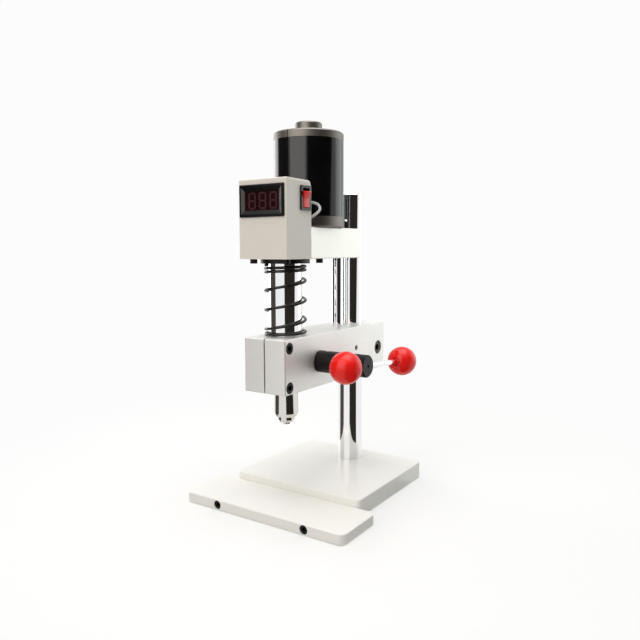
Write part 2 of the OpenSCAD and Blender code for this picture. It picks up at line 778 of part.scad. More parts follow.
module guide_bush() {
    color(bronze) translate([0, guide_y, arm_z]) difference() {
        cylinder(d = bush_d, h = arm_h);
        translate([0, 0, -cut]) cylinder(d = guide_d + 2 * run_fit, h = arm_h + 2 * cut);
    }
}

// Ball bearings of the spindle and of the motor shaft
race_gap = 0.35;
ball_d = 4;
ball_count = 7;
bearing_mid_r = (bearing_d + bearing_bore) / 4;
ring_wall = 1.9;
spindle_bearing_z = [quill_z + bearing_lip, quill_top - bearing_w - bearing_lip];
motor_bearing_z = [arm_top + 2, can_top + motor_top_h + motor_boss_h - bearing_w - 2];

module at_bearings() {
    for (z = spindle_bearing_z) translate([0, 0, z]) children();
    for (z = motor_bearing_z) translate([0, motor_y, z]) children();
}

module outer_ring() {
    rotate_extrude() difference() {
        translate([bearing_d / 2 - ring_wall, 0]) square([ring_wall, bearing_w]);
        translate([bearing_mid_r, bearing_w / 2]) circle(d = ball_d + 2 * run_fit);
    }
}

module inner_ring() {
    rotate_extrude() difference() {
        translate([bearing_bore / 2, 0]) square([ring_wall, bearing_w]);
        translate([bearing_mid_r, bearing_w / 2]) circle(d = ball_d + 2 * race_gap);
    }
}

module bearing_outer_rings() { color(chrome) at_bearings() outer_ring(); }

module bearing_balls() {
    color(chrome) at_bearings() for (i = [1:ball_count]) rotate([0, 0, i * 360 / ball_count])
        translate([bearing_mid_r, 0, bearing_w / 2]) sphere(d = ball_d, $fn = 24);
}

module spindle_inner_rings() {
    color(chrome) for (z = spindle_bearing_z) translate([0, 0, z]) inner_ring();
}

module rotor_inner_rings() {
    color(chrome) for (z = motor_bearing_z) translate([0, motor_y, z]) inner_ring();
}

// Spindle, pulleys and belt
spindle_body_d = 12;
pulley_z = quill_top + 1.5;
pulley_rim_t = 1;
pulley_h = belt_w + 2 * pulley_rim_t + 1;
tooth_depth = 1.2;
taper_top_d = 6.3;
taper_low_d = 5.8;
taper_len = 11;
chuck_top = quill_z - 2;

module spindle() {
    low = spindle_bearing_z[0];
    high = spindle_bearing_z[1] + bearing_w;
    color(steel_grey) {
        translate([0, 0, low + bearing_w])
            cylinder(d = spindle_body_d, h = high - bearing_w - low - bearing_w);
        translate([0, 0, low - 1]) cylinder(d = bearing_bore, h = pulley_z + pulley_h - low + 1);
        translate([0, 0, chuck_top]) cylinder(d = spindle_body_d - 2, h = low - chuck_top);
        translate([0, 0, chuck_top - taper_len]) cylinder(d1 = taper_low_d, d2 = taper_top_d, h = taper_len);
    }
}

module pulley(teeth, bore) {
    r = pulley_r(teeth);
    difference() {
        union() {
            linear_extrude(pulley_h) difference() {
                circle(r = r);
                for (i = [1:teeth]) rotate([0, 0, i * 360 / teeth]) translate([r, 0])
                    circle(d = tooth_depth * 1.2, $fn = 12);
            }
            for (z = [0, pulley_h - pulley_rim_t]) translate([0, 0, z])
                cylinder(r = r + pulley_rim_extra, h = pulley_rim_t);
        }
        translate([0, 0, -cut]) cylinder(d = bore, h = pulley_h + 2 * cut);
    }
}

module spindle_pulley() {
    color(bead_alu) translate([0, 0, pulley_z]) pulley(spindle_pulley_teeth, bearing_bore);
}

module motor_pulley() {
    color(bead_alu) translate([0, motor_y, pulley_z]) pulley(motor_pulley_teeth, bearing_bore);
}

module belt_outline(grow) {
    hull() {
        circle(r = pulley_r(spindle_pulley_teeth) + grow, $fn = hull_fn * 2);
        translate([0, motor_y]) circle(r = pulley_r(motor_pulley_teeth) + grow, $fn = hull_fn * 2);
    }
}

module drive_belt() {
    color(black_plastic) translate([0, 0, pulley_z + (pulley_h - belt_w) / 2]) linear_extrude(belt_w)
        difference() {
            belt_outline(pulley_rim_extra + belt_gap + belt_t);
            belt_outline(pulley_rim_extra + belt_gap);
        }
}

// Motor
can_wall = 3;
shaft_room = 4;
spigot_h = 4;
cap_edge_c = 1.2;
magnet_t = 4;
magnet_angle = 130;
magnet_over = 3;
rotor_d = 46;
rotor_slots = 12;
rotor_slot_w = 3;
rotor_slot_depth = 6;
winding_h = 8;
commutator_d = 20;
commutator_h = 12;
commutator_drop = 5;
commutator_step = 3;
brush_w = 6;
brush_h = 7;
brush_len = 9;
brush_rise = 2;
brush_gap = 0.3;
brush_plate_t = 2;
holder_wall = 2;
holder_rise = 1;
holder_gap = 1.5;
tie_room = 1;
tie_m = 4;
tie_r = (motor_d - 2 * can_wall) / 2 - 3.2;
tie_sink = 4.5;
vent_count = 8;
vent_w = 4;
cap_notch_w = 1.2;
cap_notch = 0.8;
core_rise = 14.5;
core_room = 27;
core_z = can_z + core_rise;
rotor_core_h = motor_can_h - core_rise - core_room;
magnet_h = rotor_core_h + 2 * magnet_over;
magnet_z = core_z - magnet_over;
commutator_z = can_top - commutator_drop - commutator_h;
spigot_d = motor_d - 2 * can_wall - 2 * seat_gap;

module motor_lower_cap() {
    color(bead_alu) translate([0, motor_y, arm_top]) difference() {
        union() {
            translate([0, 0, 0]) rotate_extrude() polygon([
                [0, 0], [motor_foot_d / 2 - cap_edge_c, 0], [motor_foot_d / 2, cap_edge_c],
                [motor_foot_d / 2, motor_foot_h], [spigot_d / 2, motor_foot_h],
                [spigot_d / 2, motor_foot_h + spigot_h], [0, motor_foot_h + spigot_h]
            ]);
            translate([0, 0, -motor_pilot_h]) cylinder(d = motor_pilot_d, h = motor_foot_h);
        }
        translate([0, 0, -motor_pilot_h - cut])
            cylinder(d = bearing_bore + shaft_room, h = motor_foot_h + 2 * spigot_h + cut);
        translate([0, 0, motor_bearing_z[0] - arm_top]) cylinder(d = bearing_d, h = motor_foot_h + spigot_h);
        translate([0, 0, motor_foot_h - 2]) cylinder(d = spigot_d - 12, h = spigot_h + 2 + cut);
        for (y = [-1, 1]) translate([0, y * motor_screw_r, -cut])
            cylinder(d = motor_screw_m + 2 * seat_gap, h = motor_foot_h - 3);
        for (x = [-1, 1]) translate([x * tie_r, 0, 3])
            cylinder(d = tie_m + 2 * seat_gap, h = motor_foot_h + spigot_h);
        translate([lead_hole_x + lead_end.x, box_back_y + lead_end.y - motor_y - lead_entry,
            lead_z + lead_end.z - arm_top])
            along_y() cylinder(d = lead_d + 2 * lead_entry_gap, h = lead_entry + 1);
    }
}

module motor_can() {
    color(black_plastic) translate([0, motor_y, can_z]) difference() {
        cylinder(d = motor_d, h = motor_can_h, $fn = 96);
        translate([0, 0, -cut]) cylinder(d = motor_d - 2 * can_wall, h = motor_can_h + 2 * cut, $fn = 96);
    }
}

module motor_upper_cap() {
    boss_top = motor_top_h + motor_boss_h;
    color(bead_alu) translate([0, motor_y, can_top]) difference() {
        rotate_extrude() polygon([
            [0, -spigot_h], [spigot_d / 2, -spigot_h], [spigot_d / 2, 0], [motor_cap_d / 2, 0],
            [motor_cap_d / 2, motor_top_h - cap_edge_c], [motor_cap_d / 2 - cap_edge_c, motor_top_h],
            [motor_boss_d / 2, motor_top_h], [motor_boss_d / 2, boss_top - cap_edge_c],
            [motor_boss_d / 2 - cap_edge_c, boss_top], [0, boss_top]
        ]);
        translate([0, 0, -spigot_h - cut]) cylinder(d = bearing_d, h = boss_top + spigot_h - 2 + cut);
        translate([0, 0, -spigot_h - cut]) cylinder(d = spigot_d - 12, h = spigot_h + motor_top_h - 3 + cut);
        for (x = [-1, 1]) translate([x * tie_r, 0, -spigot_h - cut]) {
            cylinder(d = tie_m + 2 * seat_gap, h = boss_top + spigot_h);
            translate([0, 0, spigot_h + cut + motor_top_h - tie_sink])
                cylinder(d = cap_head_d(tie_m) + 2 * seat_gap, h = motor_top_h);
        }
        translate([-cap_notch_w / 2, -motor_cap_d / 2 - cut, -cut])
            cube([cap_notch_w, cap_notch + cut, motor_top_h + 2 * cut]);
        for (i = [1:vent_count]) rotate([0, 0, (i + 0.5) * 360 / vent_count])
            translate([motor_boss_d / 2 + vent_w, 0, -spigot_h - cut]) {
                translate([0, -vent_w / 2, 0]) cube([motor_d / 8, vent_w, boss_top + spigot_h]);
                cylinder(d = vent_w, h = boss_top + spigot_h);
                translate([motor_d / 8, 0, 0]) cylinder(d = vent_w, h = boss_top + spigot_h);
            }
    }
}

module motor_magnets() {
    out = motor_d / 2 - can_wall - seat_gap;
    color(steel_grey) translate([0, motor_y, magnet_z]) for (a = [90, 270])
        rotate([0, 0, a - magnet_angle / 2]) rotate_extrude(angle = magnet_angle)
            translate([out - magnet_t, 0]) square([magnet_t, magnet_h]);
}

module motor_rotor() {
    shaft_top = motor_bearing_z[1] + bearing_w;
    color(steel_grey) translate([0, motor_y, 0]) {
        translate([0, 0, pulley_z]) cylinder(d = bearing_bore, h = shaft_top - pulley_z);
        translate([0, 0, core_z]) difference() {
            cylinder(d = rotor_d, h = rotor_core_h);
            for (i = [1:rotor_slots]) rotate([0, 0, i * 360 / rotor_slots])
                translate([rotor_d / 2 - rotor_slot_depth, -rotor_slot_w / 2, -cut])
                    cube([rotor_d, rotor_slot_w, rotor_core_h + 2 * cut]);
        }
        for (z = [core_z - winding_h, core_z + rotor_core_h]) translate([0, 0, z])
            cylinder(d = rotor_d - 2 * rotor_slot_depth - 1, h = winding_h);
        translate([0, 0, core_z + rotor_core_h])
            cylinder(d = commutator_d - 2 * commutator_step, h = commutator_z - core_z - rotor_core_h);
        translate([0, 0, commutator_z]) cylinder(d = commutator_d, h = commutator_h);
    }
}

module brush_gear() {
    plate_z = can_top - spigot_h - brush_plate_t;
    holder_r = commutator_d / 2 + holder_gap;
    color(black_plastic) translate([0, motor_y, 0]) difference() {
        union() {
            translate([0, 0, plate_z]) cylinder(d = spigot_d, h = brush_plate_t);
            for (y = [holder_r, -holder_r - brush_len])
                translate([-brush_w / 2 - holder_wall, y, commutator_z + holder_rise])
                    cube([brush_w + 2 * holder_wall, brush_len, plate_z - commutator_z]);
        }
        translate([0, 0, plate_z - cut])
            cylinder(d = commutator_d + 2 * holder_rise, h = brush_plate_t + 2 * cut);
        for (y = [0, -holder_r - brush_len - cut])
            translate([-brush_w / 2 - seat_gap, y, commutator_z + brush_rise - seat_gap])
                cube([brush_w + 2 * seat_gap, holder_r + brush_len + cut, brush_h + 2 * seat_gap]);
        for (x = [-1, 1]) translate([x * tie_r, 0, plate_z - cut])
            cylinder(d = tie_m + 2 * tie_room, h = brush_plate_t + 2 * cut);
    }
}

module carbon_brushes() {
    near = commutator_d / 2 + brush_gap;
    color([0.16, 0.16, 0.17]) translate([0, motor_y, commutator_z + brush_rise])
        for (y = [near, -near - brush_len])
            translate([-brush_w / 2, y, 0]) cube([brush_w, brush_len, brush_h]);
}

module motor_screws() {
    color(black_oxide) for (y = [-1, 1]) translate([0, motor_y + y * motor_screw_r, cover_z])
        mirror([0, 0, 1]) cap_screw(motor_screw_m, arm_cover_t + motor_foot_h - 5, motor_screw_m * 0.75);
}

module tie_screws() {
    len = motor_cap_top - tie_sink - arm_top - 5;
    color(steel_grey) for (x = [-1, 1]) translate([x * tie_r, motor_y, motor_cap_top - tie_sink])
        cap_screw(tie_m, len);
}

// Control box. It fits over the front of the upper arm.
box_arm_gap = 0.5;
box_w = arm_w + 2 * (box_wall + box_arm_gap);
box_nose = arm_nose + box_arm_gap + box_wall;
box_motor_gap = 0.35;
meter_w = box_w - 2 * meter_side_gap;
box_back_t = 2;
box_z = arm_z;
box_top = box_z + box_h;
box_back_y = motor_y - max(motor_d, motor_foot_d, motor_cap_d) / 2 - box_motor_gap;
box_depth = box_nose + box_back_y;
box_in_x = box_w / 2 - box_wall;
meter_top_gap = 4.8;
meter_z = box_top - meter_top_gap - meter_h;
meter_proud = 1.8;
meter_hole_gap = 0.3;
meter_body_edge = 1.6;
meter_body_depth = 17;
meter_rim = 2.3;
meter_frame_side = 5.5;
meter_frame_top = 5.6;
switch_top_gap = 5.5;
switch_z = box_top - switch_top_gap - switch_h;
switch_back_gap = 3;
switch_y = box_back_y - switch_back_gap - switch_w;
switch_proud = 1.6;
switch_edge = 1;
switch_body_depth = 12;
inlet_d = 11;
inlet_hole_d = 8;
inlet_place_share = 0.62;
inlet_y = -box_nose + box_depth * inlet_place_share;
inlet_rise = 14;
inlet_z = arm_top + inlet_rise;
post_d = 7;
side_screw_grip = 5;
back_screw_m = 3;
back_screw_head_h = 1.6;
side_screw_m = 3;
side_screw_back = 5;
side_screw_pitch = 14;
side_screw_rise = 10;
side_screw_y = [for (i = [0, 1]) arm_screw_first + side_screw_back + i * side_screw_pitch];
side_screw_z = arm_z + side_screw_rise;
back_low_rise = 4.5;
back_mid_rise = 10.2;
back_high_drop = 4;
post_bury = 1;
post_len = 12;
back_screw_grip = 6;
back_low_z = arm_top + back_low_rise;
back_mid_z = arm_top + back_mid_rise;
back_high_z = box_top - box_crown_r - back_high_drop;
post_in = post_d / 2 - post_bury;
back_screw_places = [
    [-box_in_x + post_in, back_low_z], [box_in_x - post_in, back_mid_z],
    [-box_in_x + post_in, back_high_z]
];

module control_box() {
    r = box_edge_r;
    crown = box_crown_r;
    color(box_grey) difference() {
        union() {
            difference() {
                hull() for (x = [-1, 1]) {
                    for (y = [-box_nose + r, box_back_y - r]) translate([x * (box_w / 2 - r), y, box_z])
                        cylinder(r = r, h = box_h - 2 * crown, $fn = hull_fn);
                    translate([x * (box_w / 2 - r), -box_nose + r, box_top - r])
                        sphere(r = r, $fn = hull_fn);
                    translate([x * (box_w / 2 - crown), box_back_y - crown, box_top - crown])
                        sphere(r = crown, $fn = hull_fn);
                }
                translate([-box_in_x, -box_nose + box_wall, box_z - cut])
                    cube([2 * box_in_x, box_depth, box_h - box_crown_r + cut]);
            }
            for (p = back_screw_places) translate([p.x, box_back_y - box_back_t - post_len, p.y])
                along_y() cylinder(d = post_d, h = post_len);
        }
        // meter window, switch hole, inlet hole and screw holes
        translate([-meter_w / 2 + meter_body_edge - meter_hole_gap, -box_nose - cut,
            meter_z + meter_body_edge - meter_hole_gap])
            cube([meter_w - 2 * meter_body_edge + 2 * meter_hole_gap, box_wall + 2 * cut,
                meter_h - 2 * meter_body_edge + 2 * meter_hole_gap]);
        translate([box_in_x - cut, switch_y + switch_edge - seat_gap, switch_z + switch_edge - seat_gap])
            cube([box_wall + 2 * cut, switch_w - 2 * switch_edge + 2 * seat_gap,
                switch_h - 2 * switch_edge + 2 * seat_gap]);
        translate([-box_w / 2 - cut, inlet_y, inlet_z]) along_x()
            cylinder(d = inlet_hole_d + 2 * seat_gap, h = box_wall + 2 * cut);
        for (y = side_screw_y) translate([-box_w / 2, y, side_screw_z]) along_minus_x()
            csk_hole(side_screw_m, box_wall + box_arm_gap);
        for (p = back_screw_places) translate([p.x, box_back_y - box_back_t - back_screw_grip - cut, p.y])
            along_y() cylinder(d = back_screw_m + 2 * seat_gap, h = back_screw_grip + 2 * cut);
    }
}

module box_back() {
    color(box_grey) difference() {
        translate([-box_in_x + seat_gap, box_back_y - box_back_t, arm_top + seat_gap])
            cube([2 * (box_in_x - seat_gap), box_back_t, box_top - box_crown_r - arm_top - 2 * seat_gap]);
        for (p = back_screw_places) translate([p.x, box_back_y - box_back_t - cut, p.y]) along_y()
            cylinder(d = back_screw_m + 2 * seat_gap, h = box_back_t + 2 * cut);
        translate([lead_hole_x, box_back_y - box_back_t - cut, lead_z]) along_y()
            cylinder(d = lead_d + 2 * lead_hole_gap, h = box_back_t + 2 * cut);
    }
}

module box_screws() {
    color(steel_grey) {
        for (p = back_screw_places) translate([p.x, box_back_y, p.y]) along_y()
            cap_screw(back_screw_m, box_back_t + back_screw_grip, back_screw_head_h);
        for (y = side_screw_y) translate([-box_w / 2, y, side_screw_z]) along_minus_x()
            csk_screw(side_screw_m, (box_w - arm_w) / 2 + side_screw_grip);
    }
}

// Meter: bezel and body, the digits and the window
digit_h = 14.5;
digit_w = 8;
digit_pitch = 11.4;
segment_t = 1.5;
segment_gap = 0.25;
digit_lean = 5;
digit_rise = 0.3;
meter_bevel = 1.5;
digit_gap = 0.2;
window_t = 0.8;
window_ledge = 0.6;
display_depth = meter_bevel + window_t + digit_gap + digit_rise;

module meter_housing() {
    frame_w = meter_w - 2 * meter_frame_side;
    frame_h = meter_h - 2 * meter_frame_top;
    front = -box_nose - meter_proud;
    color(black_plastic) difference() {
        union() {
            edged_block([-meter_w / 2, front, meter_z],
                [meter_w / 2, -box_nose, meter_z + meter_h], meter_proud / 3);
            translate([-meter_w / 2 + meter_body_edge, -box_nose - seat_gap, meter_z + meter_body_edge])
                cube([meter_w - 2 * meter_body_edge, meter_body_depth, meter_h - 2 * meter_body_edge]);
        }
        // the frame slopes in to the window, which seats on a ledge in front of the digits
        hull() {
            translate([-meter_w / 2 + meter_rim, front - seat_gap, meter_z + meter_rim])
                cube([meter_w - 2 * meter_rim, seat_gap, meter_h - 2 * meter_rim]);
            translate([-frame_w / 2, front, meter_z + meter_frame_top])
                cube([frame_w, meter_bevel, frame_h]);
        }
        translate([-frame_w / 2, front, meter_z + meter_frame_top])
            cube([frame_w, meter_bevel + window_t, frame_h]);
        translate([-frame_w / 2 + window_ledge, front, meter_z + meter_frame_top + window_ledge])
            cube([frame_w - 2 * window_ledge, display_depth, frame_h - 2 * window_ledge]);
    }
}

module segment(len) {
    half = segment_t / 2;
    polygon([
        [-len / 2, 0], [-len / 2 + half, half], [len / 2 - half, half],
        [len / 2, 0], [len / 2 - half, -half], [-len / 2 + half, -half]
    ]);
}

module digit_eight() {
    run = digit_w - segment_t - segment_gap;
    climb = (digit_h - segment_t) / 2 - segment_gap;
    step = (digit_h - segment_t) / 2;
    for (i = [-1:1]) translate([0, i * step]) segment(run);
    for (x = [-1, 1], i = [-1, 1]) translate([x * (digit_w - segment_t) / 2, i * step / 2])
        rotate(90) segment(climb);
}

module meter_digits() {
    face = -box_nose - meter_proud + display_depth;
    color([0.45, 0.20, 0.24]) for (i = [-1:1])
        translate([i * digit_pitch, face, meter_z + meter_h / 2]) rotate([90, 0, 0])
            linear_extrude(digit_rise) digit_eight();
}

module meter_window() {
    frame_w = meter_w - 2 * meter_frame_side - 2 * seat_gap;
    frame_h = meter_h - 2 * meter_frame_top - 2 * seat_gap;
    color([0.30, 0.12, 0.15, 0.5])
        translate([-frame_w / 2, -box_nose - meter_proud + meter_bevel, meter_z + meter_frame_top + seat_gap])
            cube([frame_w, window_t, frame_h]);
}

// Rocker switch on the right side
rocker_gap = 0.4;
rocker_edge = 2;
rocker_side_edge = 2.75;
rocker_tilt = 11;
rocker_floor = 2;
rocker_taper_share = 0.92;
rocker_pivot_in = 4.5;
rocker_rise = 0.6;
rocker_root = 1.5;
rocker_skirt = 2.2;
rocker_pin_d = 2.4;
rocker_pin_out = 0.7;
rocker_pivot_x = box_w / 2 + switch_proud - rocker_pivot_in;

function rocker_pin_span() = switch_w - 2 * rocker_side_edge + 2 * rocker_pin_out;

module switch_frame() {
    pin_room = rocker_pin_span() + rocker_gap;
    color(black_plastic) difference() {
        union() {
            edged_block([box_w / 2, switch_y, switch_z],
                [box_w / 2 + switch_proud, switch_y + switch_w, switch_z + switch_h], switch_proud / 3);
            translate([box_w / 2 - switch_body_depth, switch_y + switch_edge, switch_z + switch_edge])
                cube([switch_body_depth + seat_gap, switch_w - 2 * switch_edge, switch_h - 2 * switch_edge]);
        }
        translate([box_w / 2 - switch_body_depth + rocker_floor, switch_y + rocker_side_edge,
            switch_z + rocker_edge])
            cube([switch_body_depth + switch_proud, switch_w - 2 * rocker_side_edge,
                switch_h - 2 * rocker_edge]);
        translate([rocker_pivot_x, switch_y + switch_w / 2 - pin_room / 2, switch_z + switch_h / 2])
            along_y() cylinder(d = rocker_pin_d + 2 * run_fit, h = pin_room);
    }
}

module switch_rocker() {
    wide = switch_w - 2 * rocker_side_edge - 2 * rocker_gap;
    // the rocker's two faces meet in a shallow vee over the pivot, and its ends clear the frame
    face = rocker_pivot_in + rocker_rise;
    reach = switch_h / 2 - rocker_edge - rocker_gap;
    half = (reach - face * sin(rocker_tilt)) * cos(rocker_tilt);
    lift = half * tan(rocker_tilt);
    foot = half * rocker_taper_share;
    color(knob_red) translate([rocker_pivot_x, switch_y + switch_w / 2, switch_z + switch_h / 2]) {
        rotate([0, rocker_tilt, 0]) translate([0, -wide / 2, 0]) rotate([90, 0, 0]) mirror([0, 0, 1])
            linear_extrude(wide) polygon([
                [-rocker_root, -rocker_root], [face - rocker_skirt, -foot], [face + lift, -half],
                [face, 0], [face + lift, half], [face - rocker_skirt, foot], [-rocker_root, rocker_root]
            ]);
        translate([0, -rocker_pin_span() / 2, 0]) along_y() cylinder(d = rocker_pin_d, h = rocker_pin_span());
    }
}

// Board inside the box, the motor lead and the power inlet
board_t = 1.6;
board_rise = 4;
board_front_room = 3;
board_back_room = 14;
board_post_d = 5;
board_post_in = 3;
dial_d = 7;
dial_h = 3.4;
dial_in = 6;
plug_size = [8, 5, 3.2];
plug_in = 8;
board_z = arm_top + board_rise;
board_side_room = 4;
board_x = box_in_x - board_side_room;
board_front = -box_nose + box_wall + board_front_room;
board_back = box_back_y - box_back_t - board_back_room;
lead_rise = 20;
lead_z = arm_top + lead_rise;

module control_board() {
    color([0.10, 0.35, 0.18]) {
        translate([-board_x, board_front, board_z]) cube([2 * board_x, board_back - board_front, board_t]);
        for (x = [-1, 1], y = [board_front + board_post_in, board_back - board_post_in])
            translate([x * (board_x - board_post_in), y, arm_top])
                cylinder(d = board_post_d, h = board_z - arm_top + board_t / 2);
        translate([-board_x / 2, board_back - dial_in, board_z + board_t / 2])
            cylinder(d = dial_d, h = dial_h);
        translate([board_x / 4, board_back - plug_in, board_z + board_t / 2]) cube(plug_size);
    }
}

// The lead leaves the back of the box, bends out past the motor and enters its lower cap.
// Each point is counted from where it leaves the back plate.
lead_sides = 12;
lead_steps = 3;
lead_points = [
    [0, -3.5, 0], [0, -1, 0], [0.8, 4.3, 0.8], [3.3, 7.2, 0.7], [7, 8.4, -0.9], [9.8, 7.5, -3.8],
    [10.3, 5.4, -7], [7.9, 2.2, -10.3], [4.4, 1.3, -12.3], [1.5, 2.2, -13.6], [-0.4, 4.6, -14.8],
    [-1.3, 8.3, -15.7]
];
lead_end = lead_points[len(lead_points) - 1];
lead_entry = 6;
lead_entry_gap = 1.3;
lead_hole_gap = 0.5;
// A point between points b and c of four in a row, at the share u
function curve(a, b, c, d, u) =
    (2 * b + (c - a) * u + (2 * a - 5 * b + 4 * c - d) * u * u + (3 * b - a - 3 * c + d) * u * u * u) / 2;
function smooth_path(p, steps) =
    let (last = len(p) - 1)
    concat([for (i = [0:last - 1], k = [0:steps - 1])
        curve(p[max(i - 1, 0)], p[i], p[i + 1], p[min(i + 2, last)], k / steps)], [p[last]]);

module motor_lead() {
    color([0.72, 0.72, 0.72]) translate([lead_hole_x, box_back_y, lead_z])
        wire_tube(smooth_path(lead_points, lead_steps), lead_d / 2, lead_sides);
}

inlet_rim_t = 2;
inlet_len = 12;
inlet_socket_d = 5.5;
inlet_socket = 10;
inlet_pin_d = 2;
module power_inlet() {
    color(black_plastic) translate([-box_w / 2, inlet_y, inlet_z]) {
        difference() {
            union() {
                along_minus_x() cylinder(d = inlet_d, h = inlet_rim_t);
                translate([-inlet_rim_t / 2, 0, 0]) along_x() cylinder(d = inlet_hole_d, h = inlet_len);
                translate([box_wall, 0, 0]) along_x() cylinder(d = inlet_d, h = inlet_rim_t, $fn = 6);
            }
            translate([-inlet_rim_t - cut, 0, 0]) along_x()
                cylinder(d = inlet_socket_d, h = inlet_socket + cut);
        }
        translate([-inlet_rim_t / 2, 0, 0]) along_x() cylinder(d = inlet_pin_d, h = inlet_socket);
    }
}

// Chuck
sleeve_low = 26;
sleeve_top_gap = 1.6;
nose_len = 5.2;
tip_proud = 2.4;
jaw_d = 3.8;
jaw_len = 18;
jaw_gap = 0.2;
key_hole_d = 2.6;
key_hole_rise = 3.9;
sleeve_cone_h = 2.4;
sleeve_cone_r = 1.6;
lip_gap = 0.35;
lip_h = 1.3;
lip_rise = 1.6;
bore_gap = 0.4;
key_teeth = 24;
key_tooth_gap = 1.3;
edge_c = 0.8;
chuck_core_d = 17.6;
sleeve_z = block_z - sleeve_low;
nose_z = sleeve_z - nose_len;
tip_z = nose_z - tip_proud;
jaw_tip_r = 1.2;
jaw_run = 1;

// Places its children with +Z up along jaw number i
module on_jaw(i) {
    rotate([0, 0, i * 120 + 30]) translate([jaw_tip_r, 0, tip_z]) rotate([0, jaw_slope, 0]) children();
}

module chuck_body() {
    color(chrome) difference() {
        rotate_extrude() polygon([
            [0, nose_z], [chuck_nose_d / 2 - 1.6, nose_z], [chuck_nose_d / 2, nose_z + 2.2],
            [chuck_nose_d / 2, sleeve_z + lip_h + lip_gap],
            [chuck_core_d / 2, sleeve_z + lip_h + lip_gap + lip_rise],
            [chuck_core_d / 2, chuck_top - 3], [chuck_core_d / 2 - 1, chuck_top - 1.6],
            [chuck_core_d / 2 - 1, chuck_top], [0, chuck_top]
        ]);
        translate([0, 0, chuck_top - taper_len - 1])
            cylinder(d1 = taper_low_d, d2 = taper_top_d + 0.1, h = taper_len + 1.1);
        for (i = [1:3]) on_jaw(i) translate([0, 0, -jaw_run])
            cylinder(d = jaw_d + 2 * seat_gap, h = jaw_len + jaw_travel + jaw_run + cut);
        translate([0, 0, nose_z - cut]) cylinder(d = jaw_d, h = 12);
        for (i = [1:3]) rotate([0, 0, i * 120 - 30]) translate([0, 0, nose_z + key_hole_rise]) along_x()
            cylinder(d = key_hole_d, h = chuck_d);
    }
}

module chuck_sleeve() {
    out = chuck_d / 2;
    top = chuck_top - 3;
    bore = chuck_core_d / 2 + bore_gap;
    lip = chuck_nose_d / 2 + lip_gap;
    color(chrome) difference() {
        rotate_extrude() polygon([
            [lip, sleeve_z], [out - sleeve_cone_r, sleeve_z], [out - edge_c / 2, sleeve_z + sleeve_cone_h],
            [out, sleeve_z + sleeve_cone_h + edge_c], [out, top - edge_c], [out - edge_c, top], [bore, top],
            [bore, sleeve_z + lip_h + lip_rise], [lip, sleeve_z + lip_h]
        ]);
        for (i = [1:key_teeth]) rotate([0, 0, i * 360 / key_teeth])
            translate([out - sleeve_cone_r, 0, sleeve_z])
                rotate([0, atan2(sleeve_cone_r, sleeve_cone_h), 0]) translate([0.3, 0, -cut])
                    cylinder(d = key_tooth_gap, h = 2 * sleeve_cone_h, $fn = 12);
    }
}

// One jaw: a sloping rod with two flats that close against the other jaws
module jaw(i) {
    flat = (chuck_d - jaw_gap) * tan(60);
    intersection() {
        on_jaw(i) translate([0, 0, -jaw_run]) cylinder(d = jaw_d, h = jaw_len);
        rotate([0, 0, i * 120 + 30]) translate([0, 0, tip_z]) linear_extrude(jaw_len * 2)
            polygon([[jaw_gap, 0], [chuck_d, flat], [chuck_d, -flat]]);
    }
}

module chuck_jaw_1() { color(steel_grey) jaw(1); }
module chuck_jaw_2() { color(steel_grey) jaw(2); }
module chuck_jaw_3() { color(steel_grey) jaw(3); }

base_plate();
work_table();
table_screws();
column();
column_foot_screw();
drill_block();
quill_clamp_screws();
column_clamp_screw();
grub_screws();
guide_rod();
stop_collar();
pinion_bushes();
pinion_shaft();
pinion_clip();
feed_hub();
hub_pin();
bar_clamp_screw();
handle_bar();
ball_knobs();
quill();
quill_flange();
flange_screws();
return_spring();
arm_housing();
arm_cover();
arm_screws();
guide_bush();
bearing_outer_rings();
bearing_balls();
spindle_inner_rings();
rotor_inner_rings();
spindle();
spindle_pulley();
drive_belt();
motor_pulley();
motor_lower_cap();
motor_can();
motor_upper_cap();
motor_magnets();
motor_rotor();
brush_gear();
carbon_brushes();
motor_screws();
tie_screws();
control_box();
box_back();
box_screws();
meter_housing();
meter_digits();
meter_window();
switch_frame();
switch_rocker();
control_board();
motor_lead();
power_inlet();
chuck_body();
chuck_sleeve();
chuck_jaw_1();
chuck_jaw_2();
chuck_jaw_3();
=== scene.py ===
"""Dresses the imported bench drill: finishes for every CAD node, a smooth return spring,
switch rocker and motor lead in place of their plain solids, and a plain pale studio."""

import json
import math

